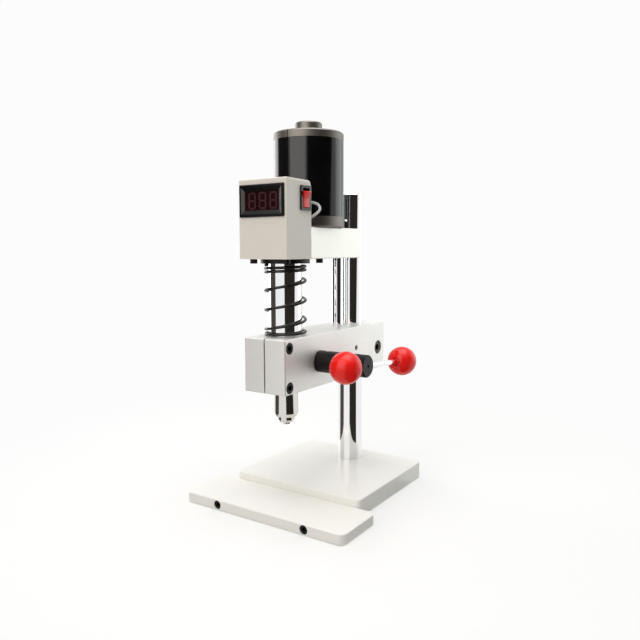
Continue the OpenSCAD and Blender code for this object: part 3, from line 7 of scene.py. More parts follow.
import bmesh
import bpy
from bpy.props import (
    FloatProperty,
    FloatVectorProperty,
    IntProperty,
    PointerProperty,
    StringProperty,
)
from mathutils import Matrix, Vector
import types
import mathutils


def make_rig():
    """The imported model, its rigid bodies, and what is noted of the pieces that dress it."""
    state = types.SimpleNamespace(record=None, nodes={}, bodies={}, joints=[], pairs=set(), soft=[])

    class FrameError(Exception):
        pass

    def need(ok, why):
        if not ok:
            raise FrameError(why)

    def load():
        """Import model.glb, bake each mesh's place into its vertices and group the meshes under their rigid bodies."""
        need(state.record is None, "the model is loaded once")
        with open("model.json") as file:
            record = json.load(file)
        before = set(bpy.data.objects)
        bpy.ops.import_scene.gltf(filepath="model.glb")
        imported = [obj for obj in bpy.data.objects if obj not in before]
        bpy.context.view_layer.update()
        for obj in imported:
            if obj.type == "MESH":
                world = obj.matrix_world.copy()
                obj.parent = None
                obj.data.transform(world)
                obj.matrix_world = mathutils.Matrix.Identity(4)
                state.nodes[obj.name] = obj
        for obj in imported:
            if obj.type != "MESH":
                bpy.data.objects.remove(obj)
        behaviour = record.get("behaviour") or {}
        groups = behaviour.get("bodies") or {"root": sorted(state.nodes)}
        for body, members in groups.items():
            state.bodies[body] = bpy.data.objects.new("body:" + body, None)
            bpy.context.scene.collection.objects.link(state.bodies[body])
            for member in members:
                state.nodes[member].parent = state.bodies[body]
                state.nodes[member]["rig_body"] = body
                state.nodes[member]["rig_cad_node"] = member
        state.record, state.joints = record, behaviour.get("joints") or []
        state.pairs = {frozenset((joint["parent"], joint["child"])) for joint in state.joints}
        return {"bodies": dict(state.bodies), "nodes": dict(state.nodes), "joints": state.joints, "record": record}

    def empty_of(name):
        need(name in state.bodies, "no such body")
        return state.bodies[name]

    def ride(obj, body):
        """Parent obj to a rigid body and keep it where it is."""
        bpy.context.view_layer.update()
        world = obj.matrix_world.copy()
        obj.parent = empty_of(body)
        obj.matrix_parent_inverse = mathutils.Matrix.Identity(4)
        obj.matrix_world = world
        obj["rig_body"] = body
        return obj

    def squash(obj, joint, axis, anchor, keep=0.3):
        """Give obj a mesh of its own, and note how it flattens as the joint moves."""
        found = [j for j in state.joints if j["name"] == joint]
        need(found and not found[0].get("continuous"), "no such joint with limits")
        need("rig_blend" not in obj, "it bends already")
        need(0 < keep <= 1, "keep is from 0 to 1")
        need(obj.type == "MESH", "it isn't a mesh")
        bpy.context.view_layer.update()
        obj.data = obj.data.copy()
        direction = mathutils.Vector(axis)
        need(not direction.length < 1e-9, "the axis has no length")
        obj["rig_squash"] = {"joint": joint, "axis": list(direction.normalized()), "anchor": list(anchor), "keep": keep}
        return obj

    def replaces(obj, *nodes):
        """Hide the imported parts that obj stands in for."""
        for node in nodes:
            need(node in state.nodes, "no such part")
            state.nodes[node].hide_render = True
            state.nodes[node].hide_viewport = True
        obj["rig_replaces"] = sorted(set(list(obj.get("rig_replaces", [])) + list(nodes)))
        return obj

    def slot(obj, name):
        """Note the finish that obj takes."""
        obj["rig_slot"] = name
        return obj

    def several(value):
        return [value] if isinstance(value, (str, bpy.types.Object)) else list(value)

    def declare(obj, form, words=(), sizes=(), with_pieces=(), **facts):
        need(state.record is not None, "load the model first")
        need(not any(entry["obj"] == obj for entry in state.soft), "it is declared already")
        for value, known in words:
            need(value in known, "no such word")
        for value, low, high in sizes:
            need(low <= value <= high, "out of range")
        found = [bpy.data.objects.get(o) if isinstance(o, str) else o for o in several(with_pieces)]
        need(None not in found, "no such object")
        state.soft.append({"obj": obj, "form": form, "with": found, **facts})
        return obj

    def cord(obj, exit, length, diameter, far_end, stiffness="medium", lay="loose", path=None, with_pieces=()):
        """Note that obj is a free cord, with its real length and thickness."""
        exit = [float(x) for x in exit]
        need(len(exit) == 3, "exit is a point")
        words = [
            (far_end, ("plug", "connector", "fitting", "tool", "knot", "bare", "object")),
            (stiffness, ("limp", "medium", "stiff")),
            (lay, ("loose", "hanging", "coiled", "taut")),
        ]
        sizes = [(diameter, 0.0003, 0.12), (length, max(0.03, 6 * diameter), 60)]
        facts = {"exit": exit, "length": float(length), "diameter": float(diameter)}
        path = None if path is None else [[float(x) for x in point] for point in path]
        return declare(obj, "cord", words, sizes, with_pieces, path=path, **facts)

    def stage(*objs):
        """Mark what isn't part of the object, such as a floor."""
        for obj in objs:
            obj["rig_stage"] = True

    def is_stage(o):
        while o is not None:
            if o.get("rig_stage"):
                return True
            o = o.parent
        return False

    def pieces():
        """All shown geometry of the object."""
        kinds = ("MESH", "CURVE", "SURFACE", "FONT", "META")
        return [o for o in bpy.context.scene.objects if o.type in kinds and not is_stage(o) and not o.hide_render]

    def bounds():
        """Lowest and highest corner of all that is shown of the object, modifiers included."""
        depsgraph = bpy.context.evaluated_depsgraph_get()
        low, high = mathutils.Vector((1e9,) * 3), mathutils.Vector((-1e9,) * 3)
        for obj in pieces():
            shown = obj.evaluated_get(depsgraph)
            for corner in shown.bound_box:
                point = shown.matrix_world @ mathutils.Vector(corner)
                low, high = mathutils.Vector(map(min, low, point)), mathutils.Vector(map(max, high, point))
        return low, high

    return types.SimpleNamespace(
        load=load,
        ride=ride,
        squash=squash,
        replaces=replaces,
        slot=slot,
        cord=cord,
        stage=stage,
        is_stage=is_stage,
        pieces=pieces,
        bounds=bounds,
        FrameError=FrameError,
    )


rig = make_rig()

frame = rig.load()
CAD_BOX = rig.bounds()

bl_info = {
    "name": "Bench Drill Dressing",
    "version": (1, 0, 0),
    "blender": (4, 0, 0),
    "location": "View3D > Sidebar > Bench Drill",
    "description": "Finishes, wound and moulded pieces and a studio for a small bench drill",
    "category": "Object",
}

MM = 0.001


# Colours and nodes

# Nearly all of Blender's noise lies between these two levels
NOISE_LOW, NOISE_HIGH = 0.3, 0.7

# A Mix node's colour sockets are known by number, because its other kinds share their names
MIX_FIRST, MIX_SECOND, MIX_RESULT = 6, 7, 2


def srgb(code):
    """A colour written as RRGGBB, as the linear red, green, blue and alpha that a node takes."""
    parts = [int(code[i : i + 2], 16) / 255 for i in (0, 2, 4)]
    linear = [c / 12.92 if c <= 0.04045 else ((c + 0.055) / 1.055) ** 2.4 for c in parts]
    return (*linear, 1.0)


def add(tree, kind, values=None, **settings):
    """Adds a node. settings are its properties. values are its inputs by name or number:
    a number or colour is set there, and an output of another node is linked."""
    made = tree.nodes.new(kind)
    for key, value in settings.items():
        setattr(made, key, value)
    for key, value in (values or {}).items():
        if isinstance(value, bpy.types.NodeSocket):
            tree.links.new(value, made.inputs[key])
        else:
            made.inputs[key].default_value = value
    return made


def new_finish(name, **values):
    """A material with one Principled shader. values are the shader's inputs, with _ for spaces."""
    made = bpy.data.materials.new(name)
    made.use_nodes = True
    tree = made.node_tree
    tree.nodes.clear()
    shader = add(tree, "ShaderNodeBsdfPrincipled")
    for key, value in values.items():
        shader.inputs[key.replace("_", " ")].default_value = value
    out = add(tree, "ShaderNodeOutputMaterial", {"Surface": shader.outputs["BSDF"]})
    out.is_active_output = True
    return made, tree, shader


def speckle(tree, size_mm, stretch=(1, 1, 1), detail=3.0):
    """Noise with grains of about size_mm across, light and dark ones in turn.
    stretch above 1 packs the grains closer along that axis."""
    place = add(tree, "ShaderNodeTexCoord").outputs["Object"]
    scaled = add(tree, "ShaderNodeMapping", {"Vector": place, "Scale": stretch})
    pair_of_grains = size_mm * MM * 2
    noise = add(
        tree,
        "ShaderNodeTexNoise",
        {"Vector": scaled.outputs["Vector"], "Scale": 1 / pair_of_grains, "Detail": detail},
    )
    return noise.outputs["Fac"]


def surface(tree, shader, tones, roughness, relief=None):
    """Lets the colour wander between two near tones, and the roughness between two levels.
    relief, where it is given, raises the surface by at most its depth in millimetres, at its
    strength. Each of the three starts with the noise that it follows, and a tone is an RRGGBB
    code or a linear colour."""
    noise_ends = {"From Min": NOISE_LOW, "From Max": NOISE_HIGH}
    factor, *colours = tones
    first, second = (srgb(c) if isinstance(c, str) else c for c in colours)
    share = add(tree, "ShaderNodeMapRange", {"Value": factor, **noise_ends})
    mixed = add(
        tree,
        "ShaderNodeMix",
        {"Factor": share.outputs["Result"], MIX_FIRST: first, MIX_SECOND: second},
        data_type="RGBA",
    )
    tree.links.new(mixed.outputs[MIX_RESULT], shader.inputs["Base Color"])
    factor, low, high = roughness
    level = add(
        tree,
        "ShaderNodeMapRange",
        {"Value": factor, **noise_ends, "To Min": low, "To Max": high},
    )
    tree.links.new(level.outputs["Result"], shader.inputs["Roughness"])
    if relief:
        height, depth_mm, strength = relief
        bump = add(
            tree,
            "ShaderNodeBump",
            {"Height": height, "Distance": depth_mm * MM, "Strength": strength},
        )
        tree.links.new(bump.outputs["Normal"], shader.inputs["Normal"])


def chosen(name, level):
    """A colour of the panel, and the same colour at another level, for a finish's two tones."""
    colour = getattr(bpy.context.scene.bench_drill.colours, name)
    return (*colour, 1.0), (*(part * level for part in colour), 1.0)


# Finishes


def plate_enamel():
    """White stoved enamel: a satin gloss that wanders a little, as sprayed paint does."""
    made, tree, shader = new_finish("white_plate_enamel")
    surface(
        tree, shader,
        tones=(speckle(tree, 30, detail=1.0), *chosen("plates", 1.035)),
        roughness=(speckle(tree, 12, detail=1.0), 0.34, 0.4),
    )
    return made


def blasted_aluminium(name, first, second):
    """Bead-blasted aluminium: a pale, even sheen that breaks into fine grains close up.
    The real dents are about 0.1 mm across, and are drawn twice as coarse to show."""
    made, tree, shader = new_finish(name, Metallic=0.75)
    dents = speckle(tree, 0.22, detail=4.0)
    surface(
        tree, shader,
        tones=(speckle(tree, 14), first, second),
        roughness=(dents, 0.46, 0.56),
        relief=(dents, 0.02, 0.5),
    )
    return made


def polished_steel():
    """Hard-chromed and polished steel: a mirror with the faintest rings from grinding.
    The real rings are too fine to show, and are drawn about 0.13 mm apart."""
    made, tree, shader = new_finish("polished_chrome", Metallic=1.0)
    surface(
        tree, shader,
        tones=(speckle(tree, 20), "F2F2F3", "EDEEEF"),
        roughness=(speckle(tree, 1.2, stretch=(0.2, 0.2, 9.0)), 0.035, 0.075),
    )
    return made


def turned_steel(name, first, second, roughness):
    """Machined steel: grey with fine turning rings that catch the light in streaks.
    The rings are about as far apart as a lathe's feed in one turn, 0.08 mm."""
    made, tree, shader = new_finish(name, Metallic=1.0)
    rings = speckle(tree, 0.5, stretch=(0.25, 0.25, 6.0))
    surface(
        tree, shader,
        tones=(rings, first, second),
        roughness=(rings, *roughness),
        relief=(rings, 0.002, 0.3),
    )
    return made


def black_oxide():
    """Blackened steel: nearly black, satin, a little browner where hands have rubbed it.
    Its skin is drawn coarser than the real one, so that it shows."""
    made, tree, shader = new_finish("black_oxide_steel", Specular_IOR_Level=0.22)
    surface(
        tree, shader,
        tones=(speckle(tree, 4), "0C0C0D", "141313"),
        roughness=(speckle(tree, 0.6), 0.36, 0.48),
        relief=(speckle(tree, 0.25), 0.006, 0.4),
    )
    return made


def spring_wire():
    """Oil-blackened spring wire: dark with a tight bright line along each turn."""
    made, tree, shader = new_finish("oiled_spring_wire", Metallic=0.4)
    surface(
        tree, shader,
        tones=(speckle(tree, 3), "151312", "211E1C"),
        roughness=(speckle(tree, 0.5), 0.28, 0.38),
    )
    return made


def cast_aluminium():
    """Turned cast aluminium of the motor's caps: satin silver with fine lathe rings,
    0.08 mm apart."""
    made, tree, shader = new_finish("turned_cap_aluminium", Metallic=1.0)
    rings = speckle(tree, 0.4, stretch=(0.2, 0.2, 5.0))
    surface(
        tree, shader,
        tones=(speckle(tree, 12), "7B7771", "736F69"),
        roughness=(rings, 0.4, 0.5),
        relief=(rings, 0.006, 0.4),
    )
    return made


def motor_enamel():
    """Gloss black enamel on the motor's can: deep black with sharp reflections and a
    faint ripple."""
    made, tree, shader = new_finish("gloss_black_enamel")
    surface(
        tree, shader,
        tones=(speckle(tree, 10), "060607", "0A0A0B"),
        roughness=(speckle(tree, 5), 0.1, 0.16),
        relief=(speckle(tree, 2.5, detail=1.0), 0.004, 1.0),
    )
    return made


def box_powder():
    """Pale grey powder paint on the control box: matt-satin with a fine leathery skin."""
    made, tree, shader = new_finish("pale_powder_paint")
    surface(
        tree, shader,
        tones=(speckle(tree, 16), *chosen("box", 1.04)),
        roughness=(speckle(tree, 2), 0.42, 0.52),
        relief=(speckle(tree, 0.5), 0.012, 0.6),
    )
    return made


def black_plastic():
    """Moulded black plastic of the meter and switch bezels: glossy, with slight sink ripple."""
    made, tree, shader = new_finish("gloss_black_plastic", Specular_IOR_Level=0.38)
    surface(
        tree, shader,
        tones=(speckle(tree, 5), "070708", "0C0C0D"),
        roughness=(speckle(tree, 3), 0.16, 0.24),
        relief=(speckle(tree, 1.5), 0.004, 1.0),
    )
    return made


def red_phenolic():
    """Red phenolic of the ball knobs: deep colour with a soft sheen."""
    made, tree, shader = new_finish("polished_red_phenolic", Specular_IOR_Level=0.38)
    surface(
        tree, shader,
        tones=(speckle(tree, 7), *chosen("knobs", 0.91)),
        roughness=(speckle(tree, 4), 0.21, 0.27),
    )
    return made


def red_rocker():
    """Translucent red plastic of the switch rocker, slightly paler where light gets into it."""
    made, tree, shader = new_finish(
        "red_rocker_plastic", Subsurface_Weight=0.25, Subsurface_Scale=2 * MM
    )
    surface(
        tree, shader,
        tones=(speckle(tree, 3), *chosen("rocker", 0.89)),
        roughness=(speckle(tree, 2), 0.2, 0.28),
    )
    return made


def unlit_segment():
    """Unlit display segments: pinkish grey behind the dark red window."""
    made, tree, shader = new_finish("unlit_segment")
    surface(
        tree, shader,
        tones=(speckle(tree, 1.5), "B8868F", "AC7A84"),
        roughness=(speckle(tree, 1), 0.5, 0.6),
    )
    return made


def red_window():
    """Dark red display window: the segments show dimly through it, and it mirrors the room."""
    made, tree, shader = new_finish("dark_red_window", Alpha=0.45)
    surface(
        tree, shader,
        tones=(speckle(tree, 6), "2A070B", "34090E"),
        roughness=(speckle(tree, 6), 0.05, 0.09),
    )
    return made


def lead_jacket():
    """Pale grey flexible lead: matt with a faint drawn grain along it."""
    made, tree, shader = new_finish("grey_lead_jacket")
    surface(
        tree, shader,
        tones=(speckle(tree, 2), "C9C9CB", "BFBFC1"),
        roughness=(speckle(tree, 0.6), 0.42, 0.54),
        relief=(speckle(tree, 0.3), 0.01, 0.5),
    )
    return made


def plain(name, first, second, grain_mm, roughness, metallic=0.0):
    """A finish for the pieces inside: two near tones, a grain and a wandering roughness."""
    made, tree, shader = new_finish(name, Metallic=metallic)
    grain = speckle(tree, grain_mm)
    surface(
        tree, shader,
        tones=(grain, first, second),
        roughness=(grain, *roughness),
        relief=(grain, 0.01, 0.5),
    )
    return made


FINISHES = {
    "base_plate": plate_enamel,
    "bead_aluminium": lambda: blasted_aluminium("blasted_block_aluminium", "E8E7E4", "ECEBE8"),
    "arm_paint": lambda: blasted_aluminium("blasted_arm_aluminium", "ECEAE4", "F0EEE9"),
    "polished_steel": polished_steel,
    "bright_steel": lambda: turned_steel("turned_steel", "E0DEDA", "D5D3CF", (0.07, 0.13)),
    "clamp_steel": lambda: turned_steel("browned_screw_steel", "4E473D", "3F3930", (0.3, 0.42)),
    "black_steel": black_oxide,
    "spring_steel": spring_wire,
    # Porous bronze bushes with a dull warm bloom
    "bronze": lambda: plain("sintered_bronze", "A87B42", "8E6535", 0.5, (0.38, 0.5), 1.0),
    "cast_alu": cast_aluminium,
    "motor_black": motor_enamel,
    "box_paint": box_powder,
    "black_plastic": black_plastic,
    "knob_red": red_phenolic,
    "rocker_red": red_rocker,
    "digit_plastic": unlit_segment,
    "meter_window": red_window,
    "lead_grey": lead_jacket,
    # Green solder resist with a slight weave of the board below
    "board_green": lambda: plain("board_resist", "14502A", "0F4423", 0.8, (0.3, 0.4)),
    # Matt black rubber of the toothed belt
    "belt_rubber": lambda: plain("belt_rubber", "1B1B1B", "121212", 0.4, (0.7, 0.85)),
    # Dull grey sintered magnets
    "magnet_grey": lambda: plain("sintered_magnet", "3A3A3C", "2C2C2E", 0.6, (0.5, 0.65)),
    # Stacked rotor laminations with a varnish tint
    "rotor_steel": lambda: plain("rotor_laminations", "7A6A58", "5E5246", 0.5, (0.35, 0.5), 0.8),
    # Soft graphite of the brushes
    "carbon": lambda: plain("brush_graphite", "1A1A1B", "0F0F10", 0.4, (0.55, 0.7)),
}


def finish_of(slot):
    """The material of one slot, made the first time it is asked for."""
    key = "finish_" + slot
    found = bpy.data.materials.get(bpy.context.scene.get(key, ""))
    if found is None:
        found = FINISHES[slot]()
        bpy.context.scene[key] = found.name
    return found


# Meshes

# The last ring at each end of a tube is this share of its radius,
# and lies this share of the radius past the first full ring
TUBE_END_WIDTH, TUBE_END_DEPTH = 0.72, 0.18


def place_mesh(name, mesh):
    """A smooth-shaded object in the scene, with its place in its vertices."""
    mesh.polygons.foreach_set("use_smooth", [True] * len(mesh.polygons))
    made = bpy.data.objects.new(name, mesh)
    bpy.context.scene.collection.objects.link(made)
    return made


def new_piece(name, verts, faces):
    """An object from its points and faces."""
    mesh = bpy.data.meshes.new(name)
    mesh.from_pydata(verts, [], faces)
    mesh.validate()
    return place_mesh(name, mesh)


def tube(name, path, radius, sides):
    """A round tube along path, with rounded closed ends."""
    points = [Vector(p) for p in path]
    ways = []
    for i in range(len(points)):
        before, after = points[max(i - 1, 0)], points[min(i + 1, len(points) - 1)]
        ways.append((after - before).normalized())
    side = ways[0].orthogonal().normalized()
    verts, rings = [], []

    def ring(centre, way, across, r):
        rings.append(len(verts))
        up = way.cross(across).normalized()
        for k in range(sides):
            turn = 2 * math.pi * k / sides
            verts.append(centre + r * (math.cos(turn) * across + math.sin(turn) * up))

    ring(points[0], ways[0], side, radius * TUBE_END_WIDTH)
    points[0] = points[0] + ways[0] * radius * TUBE_END_DEPTH
    for point, way in zip(points, ways):
        side = (side - way * side.dot(way)).normalized()
        ring(point, way, side, radius)
    tip = points[-1] + ways[-1] * radius * TUBE_END_DEPTH
    ring(tip, ways[-1], side, radius * TUBE_END_WIDTH)
    faces = [tuple(reversed(range(sides)))]
    for low, high in zip(rings, rings[1:]):
        for k in range(sides):
            n = (k + 1) % sides
            faces.append((low + k, low + n, high + n, high + k))
    faces.append(tuple(range(rings[-1], rings[-1] + sides)))
    return new_piece(name, verts, faces)


def wear(piece, body, slot):
    """Gives a new piece its finish, the body that it rides on and its slot."""
    piece.data.materials.clear()
    piece.data.materials.append(finish_of(slot))
    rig.slot(piece, slot)
    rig.ride(piece, body)
    return piece


# Settings


class BenchDrillSpring(bpy.types.PropertyGroup):
    wire: FloatProperty(
        name="Wire", description="Wire diameter of the return spring",
        default=0.0025, unit="LENGTH",
    )
    across: FloatProperty(
        name="Outer Diameter", description="Outer diameter of the return spring",
        default=0.0385, unit="LENGTH",
    )
    height: FloatProperty(
        name="Height", description="Height of the return spring at rest",
        default=0.0645, unit="LENGTH",
    )
    foot: FloatProperty(
        name="Foot", description="Height at which the return spring stands",
        default=0.160, unit="LENGTH",
    )
    open_turns: IntProperty(
        name="Open Turns", description="Turns that stand apart", default=3
    )
    top_turns: IntProperty(
        name="Top Turns", description="Closed turns at the top", default=2
    )
    start: FloatProperty(
        name="Start Angle", description="Where the wire starts, about the drill axis",
        default=math.radians(197), subtype="ANGLE",
    )


class BenchDrillRocker(bpy.types.PropertyGroup):
    pivot: FloatVectorProperty(
        name="Pivot", description="Middle of the rocker's pivot",
        default=(0.0231, -0.005975, 0.2805), subtype="XYZ", unit="LENGTH", precision=4,
    )
    width: FloatProperty(
        name="Width", description="Width of the rocker", default=0.0087, unit="LENGTH"
    )
    tilt: FloatProperty(
        name="Tilt", description="How far the rocker leans when it is off",
        default=math.radians(11), subtype="ANGLE",
    )
    face: FloatProperty(
        name="Face", description="From the pivot out to the middle of the rocker's face",
        default=0.0051, unit="LENGTH",
    )
    reach: FloatProperty(
        name="Reach", description="From the pivot up to the gap at the rocker's end",
        default=0.0081, unit="LENGTH",
    )


class BenchDrillLead(bpy.types.PropertyGroup):
    start: FloatVectorProperty(
        name="Start", description="Where the lead leaves the back of the box",
        default=(0.0195, 0.004525, 0.277), subtype="XYZ", unit="LENGTH", precision=4,
    )
    thick: FloatProperty(
        name="Diameter", description="Diameter of the motor lead",
        default=0.0025, unit="LENGTH",
    )


class BenchDrillColours(bpy.types.PropertyGroup):
    plates: FloatVectorProperty(
        name="Plates", description="Enamel of the two base plates",
        default=srgb("EDECE7")[:3], subtype="COLOR",
    )
    box: FloatVectorProperty(
        name="Box", description="Powder paint of the control box",
        default=srgb("DBD6CE")[:3], subtype="COLOR",
    )
    knobs: FloatVectorProperty(
        name="Knobs", description="Colour of the two ball knobs",
        default=srgb("F01812")[:3], subtype="COLOR",
    )
    rocker: FloatVectorProperty(
        name="Rocker", description="Colour of the switch rocker",
        default=srgb("E6221C")[:3], subtype="COLOR",
    )


class BenchDrillStage(bpy.types.PropertyGroup):
    camera_place: FloatVectorProperty(
        name="Camera", description="Where the camera stands",
        default=(0.3458, -0.4598, 0.2366), subtype="XYZ", unit="LENGTH", precision=4,
    )
    camera_turn: FloatProperty(
        name="Camera Turn", description="Turn of the camera about the vertical",
        default=math.radians(33.47), subtype="ANGLE",
    )
    camera_tilt: FloatProperty(
        name="Camera Tilt", description="Tilt of the camera up from straight down",
        default=math.radians(84.67), subtype="ANGLE",
    )
    camera_roll: FloatProperty(
        name="Camera Roll", description="Roll of the camera about its view",
        default=math.radians(-0.13), subtype="ANGLE",
    )
    lens: FloatProperty(
        name="Lens", description="Focal length of the lens in millimetres", default=36.08
    )
    shift: FloatVectorProperty(
        name="Lens Shift", description="Shift of the picture across and up",
        default=(-0.0068, -0.0165), size=2,
    )
    key_power: FloatProperty(
        name="Key Light", description="Power of the big soft light at the front",
        default=7.6, unit="POWER",
    )
    top_power: FloatProperty(
        name="Top Light", description="Power of the soft light overhead",
        default=13.5, unit="POWER",
    )
    right_power: FloatProperty(
        name="Right Light", description="Power of the soft light behind on the right",
        default=2.3, unit="POWER",
    )
    left_power: FloatProperty(
        name="Left Light", description="Power of the soft light on the left",
        default=5.0, unit="POWER",
    )
    fill: FloatProperty(
        name="Fill", description="Strength of the room's light on matt surfaces", default=0.38
    )
    backdrop: FloatProperty(
        name="Backdrop", description="Level of the white behind the drill", default=0.975
    )
    floor_colour: FloatVectorProperty(
        name="Floor", description="Colour of the floor",
        default=srgb("B4B4B2")[:3], subtype="COLOR",
    )


class BenchDrillSettings(bpy.types.PropertyGroup):
    spring: PointerProperty(
        name="Spring", description="Sizes of the return spring", type=BenchDrillSpring
    )
    rocker: PointerProperty(
        name="Rocker", description="Sizes of the switch rocker", type=BenchDrillRocker
    )
    lead: PointerProperty(
        name="Lead", description="Sizes of the motor lead", type=BenchDrillLead
    )
    colours: PointerProperty(
        name="Colours", description="Colours of the painted and moulded pieces",
        type=BenchDrillColours,
    )
    stage: PointerProperty(
        name="Stage", description="The camera, lights and floor", type=BenchDrillStage
    )
    written: StringProperty(
        name="Size File", description="Where the two boxes are written",
        default="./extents.json", subtype="FILE_PATH",
    )


# Pieces

# The return spring's gap to its seats and between its closed turns, in metres
SEAT_GAP, CLOSED_GAP = 0.0001, 0.0006
# The part of a turn over which its pitch changes
PITCH_BLEND = 0.12
# Rings of points in a turn, and points in a ring
SPRING_RINGS, SPRING_SIDES = 28, 14
# How far its wire runs straight on at both ends, as a share of its diameter
WIRE_TAIL = 0.8
# How far the head feeds down, in metres
FEED = 0.04

# The rocker's section, in millimetres: how far its hub reaches from the pivot, how far its
# ends go back from the face, and their height there as a share of that at the face
ROCKER_HUB, ROCKER_END, ROCKER_END_SHARE = 1.5, 2.2, 0.92
# Points along each half face, and the power that shapes its dish
DISH_STEPS, DISH_POWER = 10, 1.25
# Edges sharper than this are rounded, to this radius in millimetres and with this many steps
SHARP_EDGE, EDGE_RADIUS, EDGE_STEPS = math.radians(25), 0.45, 3

# The lead's route, counted from where it leaves the back plate of the box, in millimetres
LEAD_ROUTE = [
    (0, -3.5, 0), (0, -1, 0), (0.8, 4.3, 0.8), (3.3, 7.2, 0.7), (7, 8.4, -0.9), (9.8, 7.5, -3.8),
    (10.3, 5.4, -7), (7.9, 2.2, -10.3), (4.4, 1.3, -12.3), (1.5, 2.2, -13.6), (-0.4, 4.6, -14.8),
    (-1.3, 8.3, -15.7),
]
# Points from one place of the route to the next, and points in a ring
LEAD_STEPS, LEAD_SIDES = 3, 16


def through(points, steps):
    """A smooth curve through the points, the same one as the lead's solid follows."""
    last = len(points) - 1
    made = []
    for i in range(last):
        a, b = points[max(i - 1, 0)], points[i]
        c, d = points[i + 1], points[min(i + 2, last)]
        for k in range(steps):
            u = k / steps
            made.append(
                (2 * b + (c - a) * u + (2 * a - 5 * b + 4 * c - d) * u * u
                 + (3 * b - a - 3 * c + d) * u * u * u) / 2
            )
    return made + [points[last]]


class BENCHDRILL_OT_finishes(bpy.types.Operator):
    """Give every CAD node the finish of its material slot"""

    bl_idname = "bench_drill.finishes"
    bl_label = "Finish the Metal and Plastic"

    def execute(self, context):
        slots = {row["node"]: row["material_slot"] for row in frame["record"]["subparts"]}
        for name, node in frame["nodes"].items():
            finish = finish_of(slots[name])
            if not node.material_slots:
                raise RuntimeError(f"{name} has no material slot")
            for held in node.material_slots:
                held.material = finish
        return {"FINISHED"}


class BENCHDRILL_OT_spring(bpy.types.Operator):
    """Wind the return spring as a smooth round wire with closed ends"""

    bl_idname = "bench_drill.spring"
    bl_label = "Wind the Return Spring"

    def execute(self, context):
        s = context.scene.bench_drill.spring
        closed = s.wire + CLOSED_GAP
        turns = 1 + s.open_turns + s.top_turns
        rise = s.height - s.wire - 2 * SEAT_GAP
        pitch = (rise - (1 + s.top_turns) * closed) / s.open_turns
        radius = (s.across - s.wire) / 2

        def climb(t):
            if t <= 1:
                return t * closed
            if t <= 1 + s.open_turns:
                return closed + (t - 1) * pitch
            return rise - (turns - t) * closed

        def point(t):
            turn = s.start + t * 2 * math.pi
            before, after = climb(max(0, t - PITCH_BLEND)), climb(min(turns, t + PITCH_BLEND))
            high = (before + 2 * climb(t) + after) / 4
            level = s.foot + SEAT_GAP + s.wire / 2 + high
            return Vector((radius * math.cos(turn), radius * math.sin(turn), level))

        def along(turn):
            return Vector((-math.sin(turn), math.cos(turn), 0)) * s.wire * WIRE_TAIL

        path = [point(i / SPRING_RINGS) for i in range(turns * SPRING_RINGS + 1)]
        first, last = path[0] - along(s.start), path[-1] + along(s.start + turns * 2 * math.pi)
        piece = tube("return_spring_wire", [first, *path, last], s.wire / 2, SPRING_SIDES)
        wear(piece, "head", "spring_steel")
        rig.replaces(piece, "return_spring")
        top = s.foot + s.height
        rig.squash(
            piece, "head_feed", axis=(0, 0, 1), anchor=(0, 0, top),
            keep=(s.height - FEED) / s.height,
        )
        return {"FINISHED"}


class BENCHDRILL_OT_rocker(bpy.types.Operator):
    """Mould the switch rocker with rounded edges and two dished faces"""

    bl_idname = "bench_drill.rocker"
    bl_label = "Mould the Switch Rocker"

    def execute(self, context):
        s = context.scene.bench_drill.rocker
        face, width = s.face / MM, s.width / MM
        half = (s.reach / MM - face * math.sin(s.tilt)) * math.cos(s.tilt)
        lift = half * math.tan(s.tilt)
        back, back_half = face - ROCKER_END, half * ROCKER_END_SHARE
        outline = [(-ROCKER_HUB, -ROCKER_HUB), (back, -back_half), (face + lift, -half)]
        for i in range(1, 2 * DISH_STEPS):
            height = -half + half * i / DISH_STEPS
            share = abs(height) / half
            # each half face is a shallow dish
            outline.append((face + lift * share ** DISH_POWER, height))
        outline += [(face + lift, half), (back, back_half), (-ROCKER_HUB, ROCKER_HUB)]
        made = bmesh.new()
        near = [made.verts.new((x, -width / 2, z)) for x, z in outline]
        far = [made.verts.new((x, width / 2, z)) for x, z in outline]
        made.faces.new(near)
        made.faces.new(list(reversed(far)))
        count = len(outline)
        for i in range(count):
            n = (i + 1) % count
            made.faces.new((near[n], near[i], far[i], far[n]))
        bmesh.ops.recalc_face_normals(made, faces=made.faces)
        made.normal_update()
        sharp = [
            edge for edge in made.edges
            if len(edge.link_faces) == 2 and edge.calc_face_angle() > SHARP_EDGE
        ]
        bmesh.ops.bevel(
            made, geom=sharp, offset=EDGE_RADIUS, segments=EDGE_STEPS, profile=0.5,
            affect="EDGES", clamp_overlap=True,
        )
        turn = Matrix.Rotation(s.tilt, 4, "Y")
        place = Matrix.Translation(Vector(s.pivot)) @ Matrix.Scale(MM, 4) @ turn
        bmesh.ops.transform(made, matrix=place, verts=made.verts)
        mesh = bpy.data.meshes.new("switch_rocker_cap")
        made.to_mesh(mesh)
        made.free()
        piece = place_mesh("switch_rocker_cap", mesh)
        wear(piece, "rocker", "rocker_red")
        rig.replaces(piece, "switch_rocker")
        return {"FINISHED"}


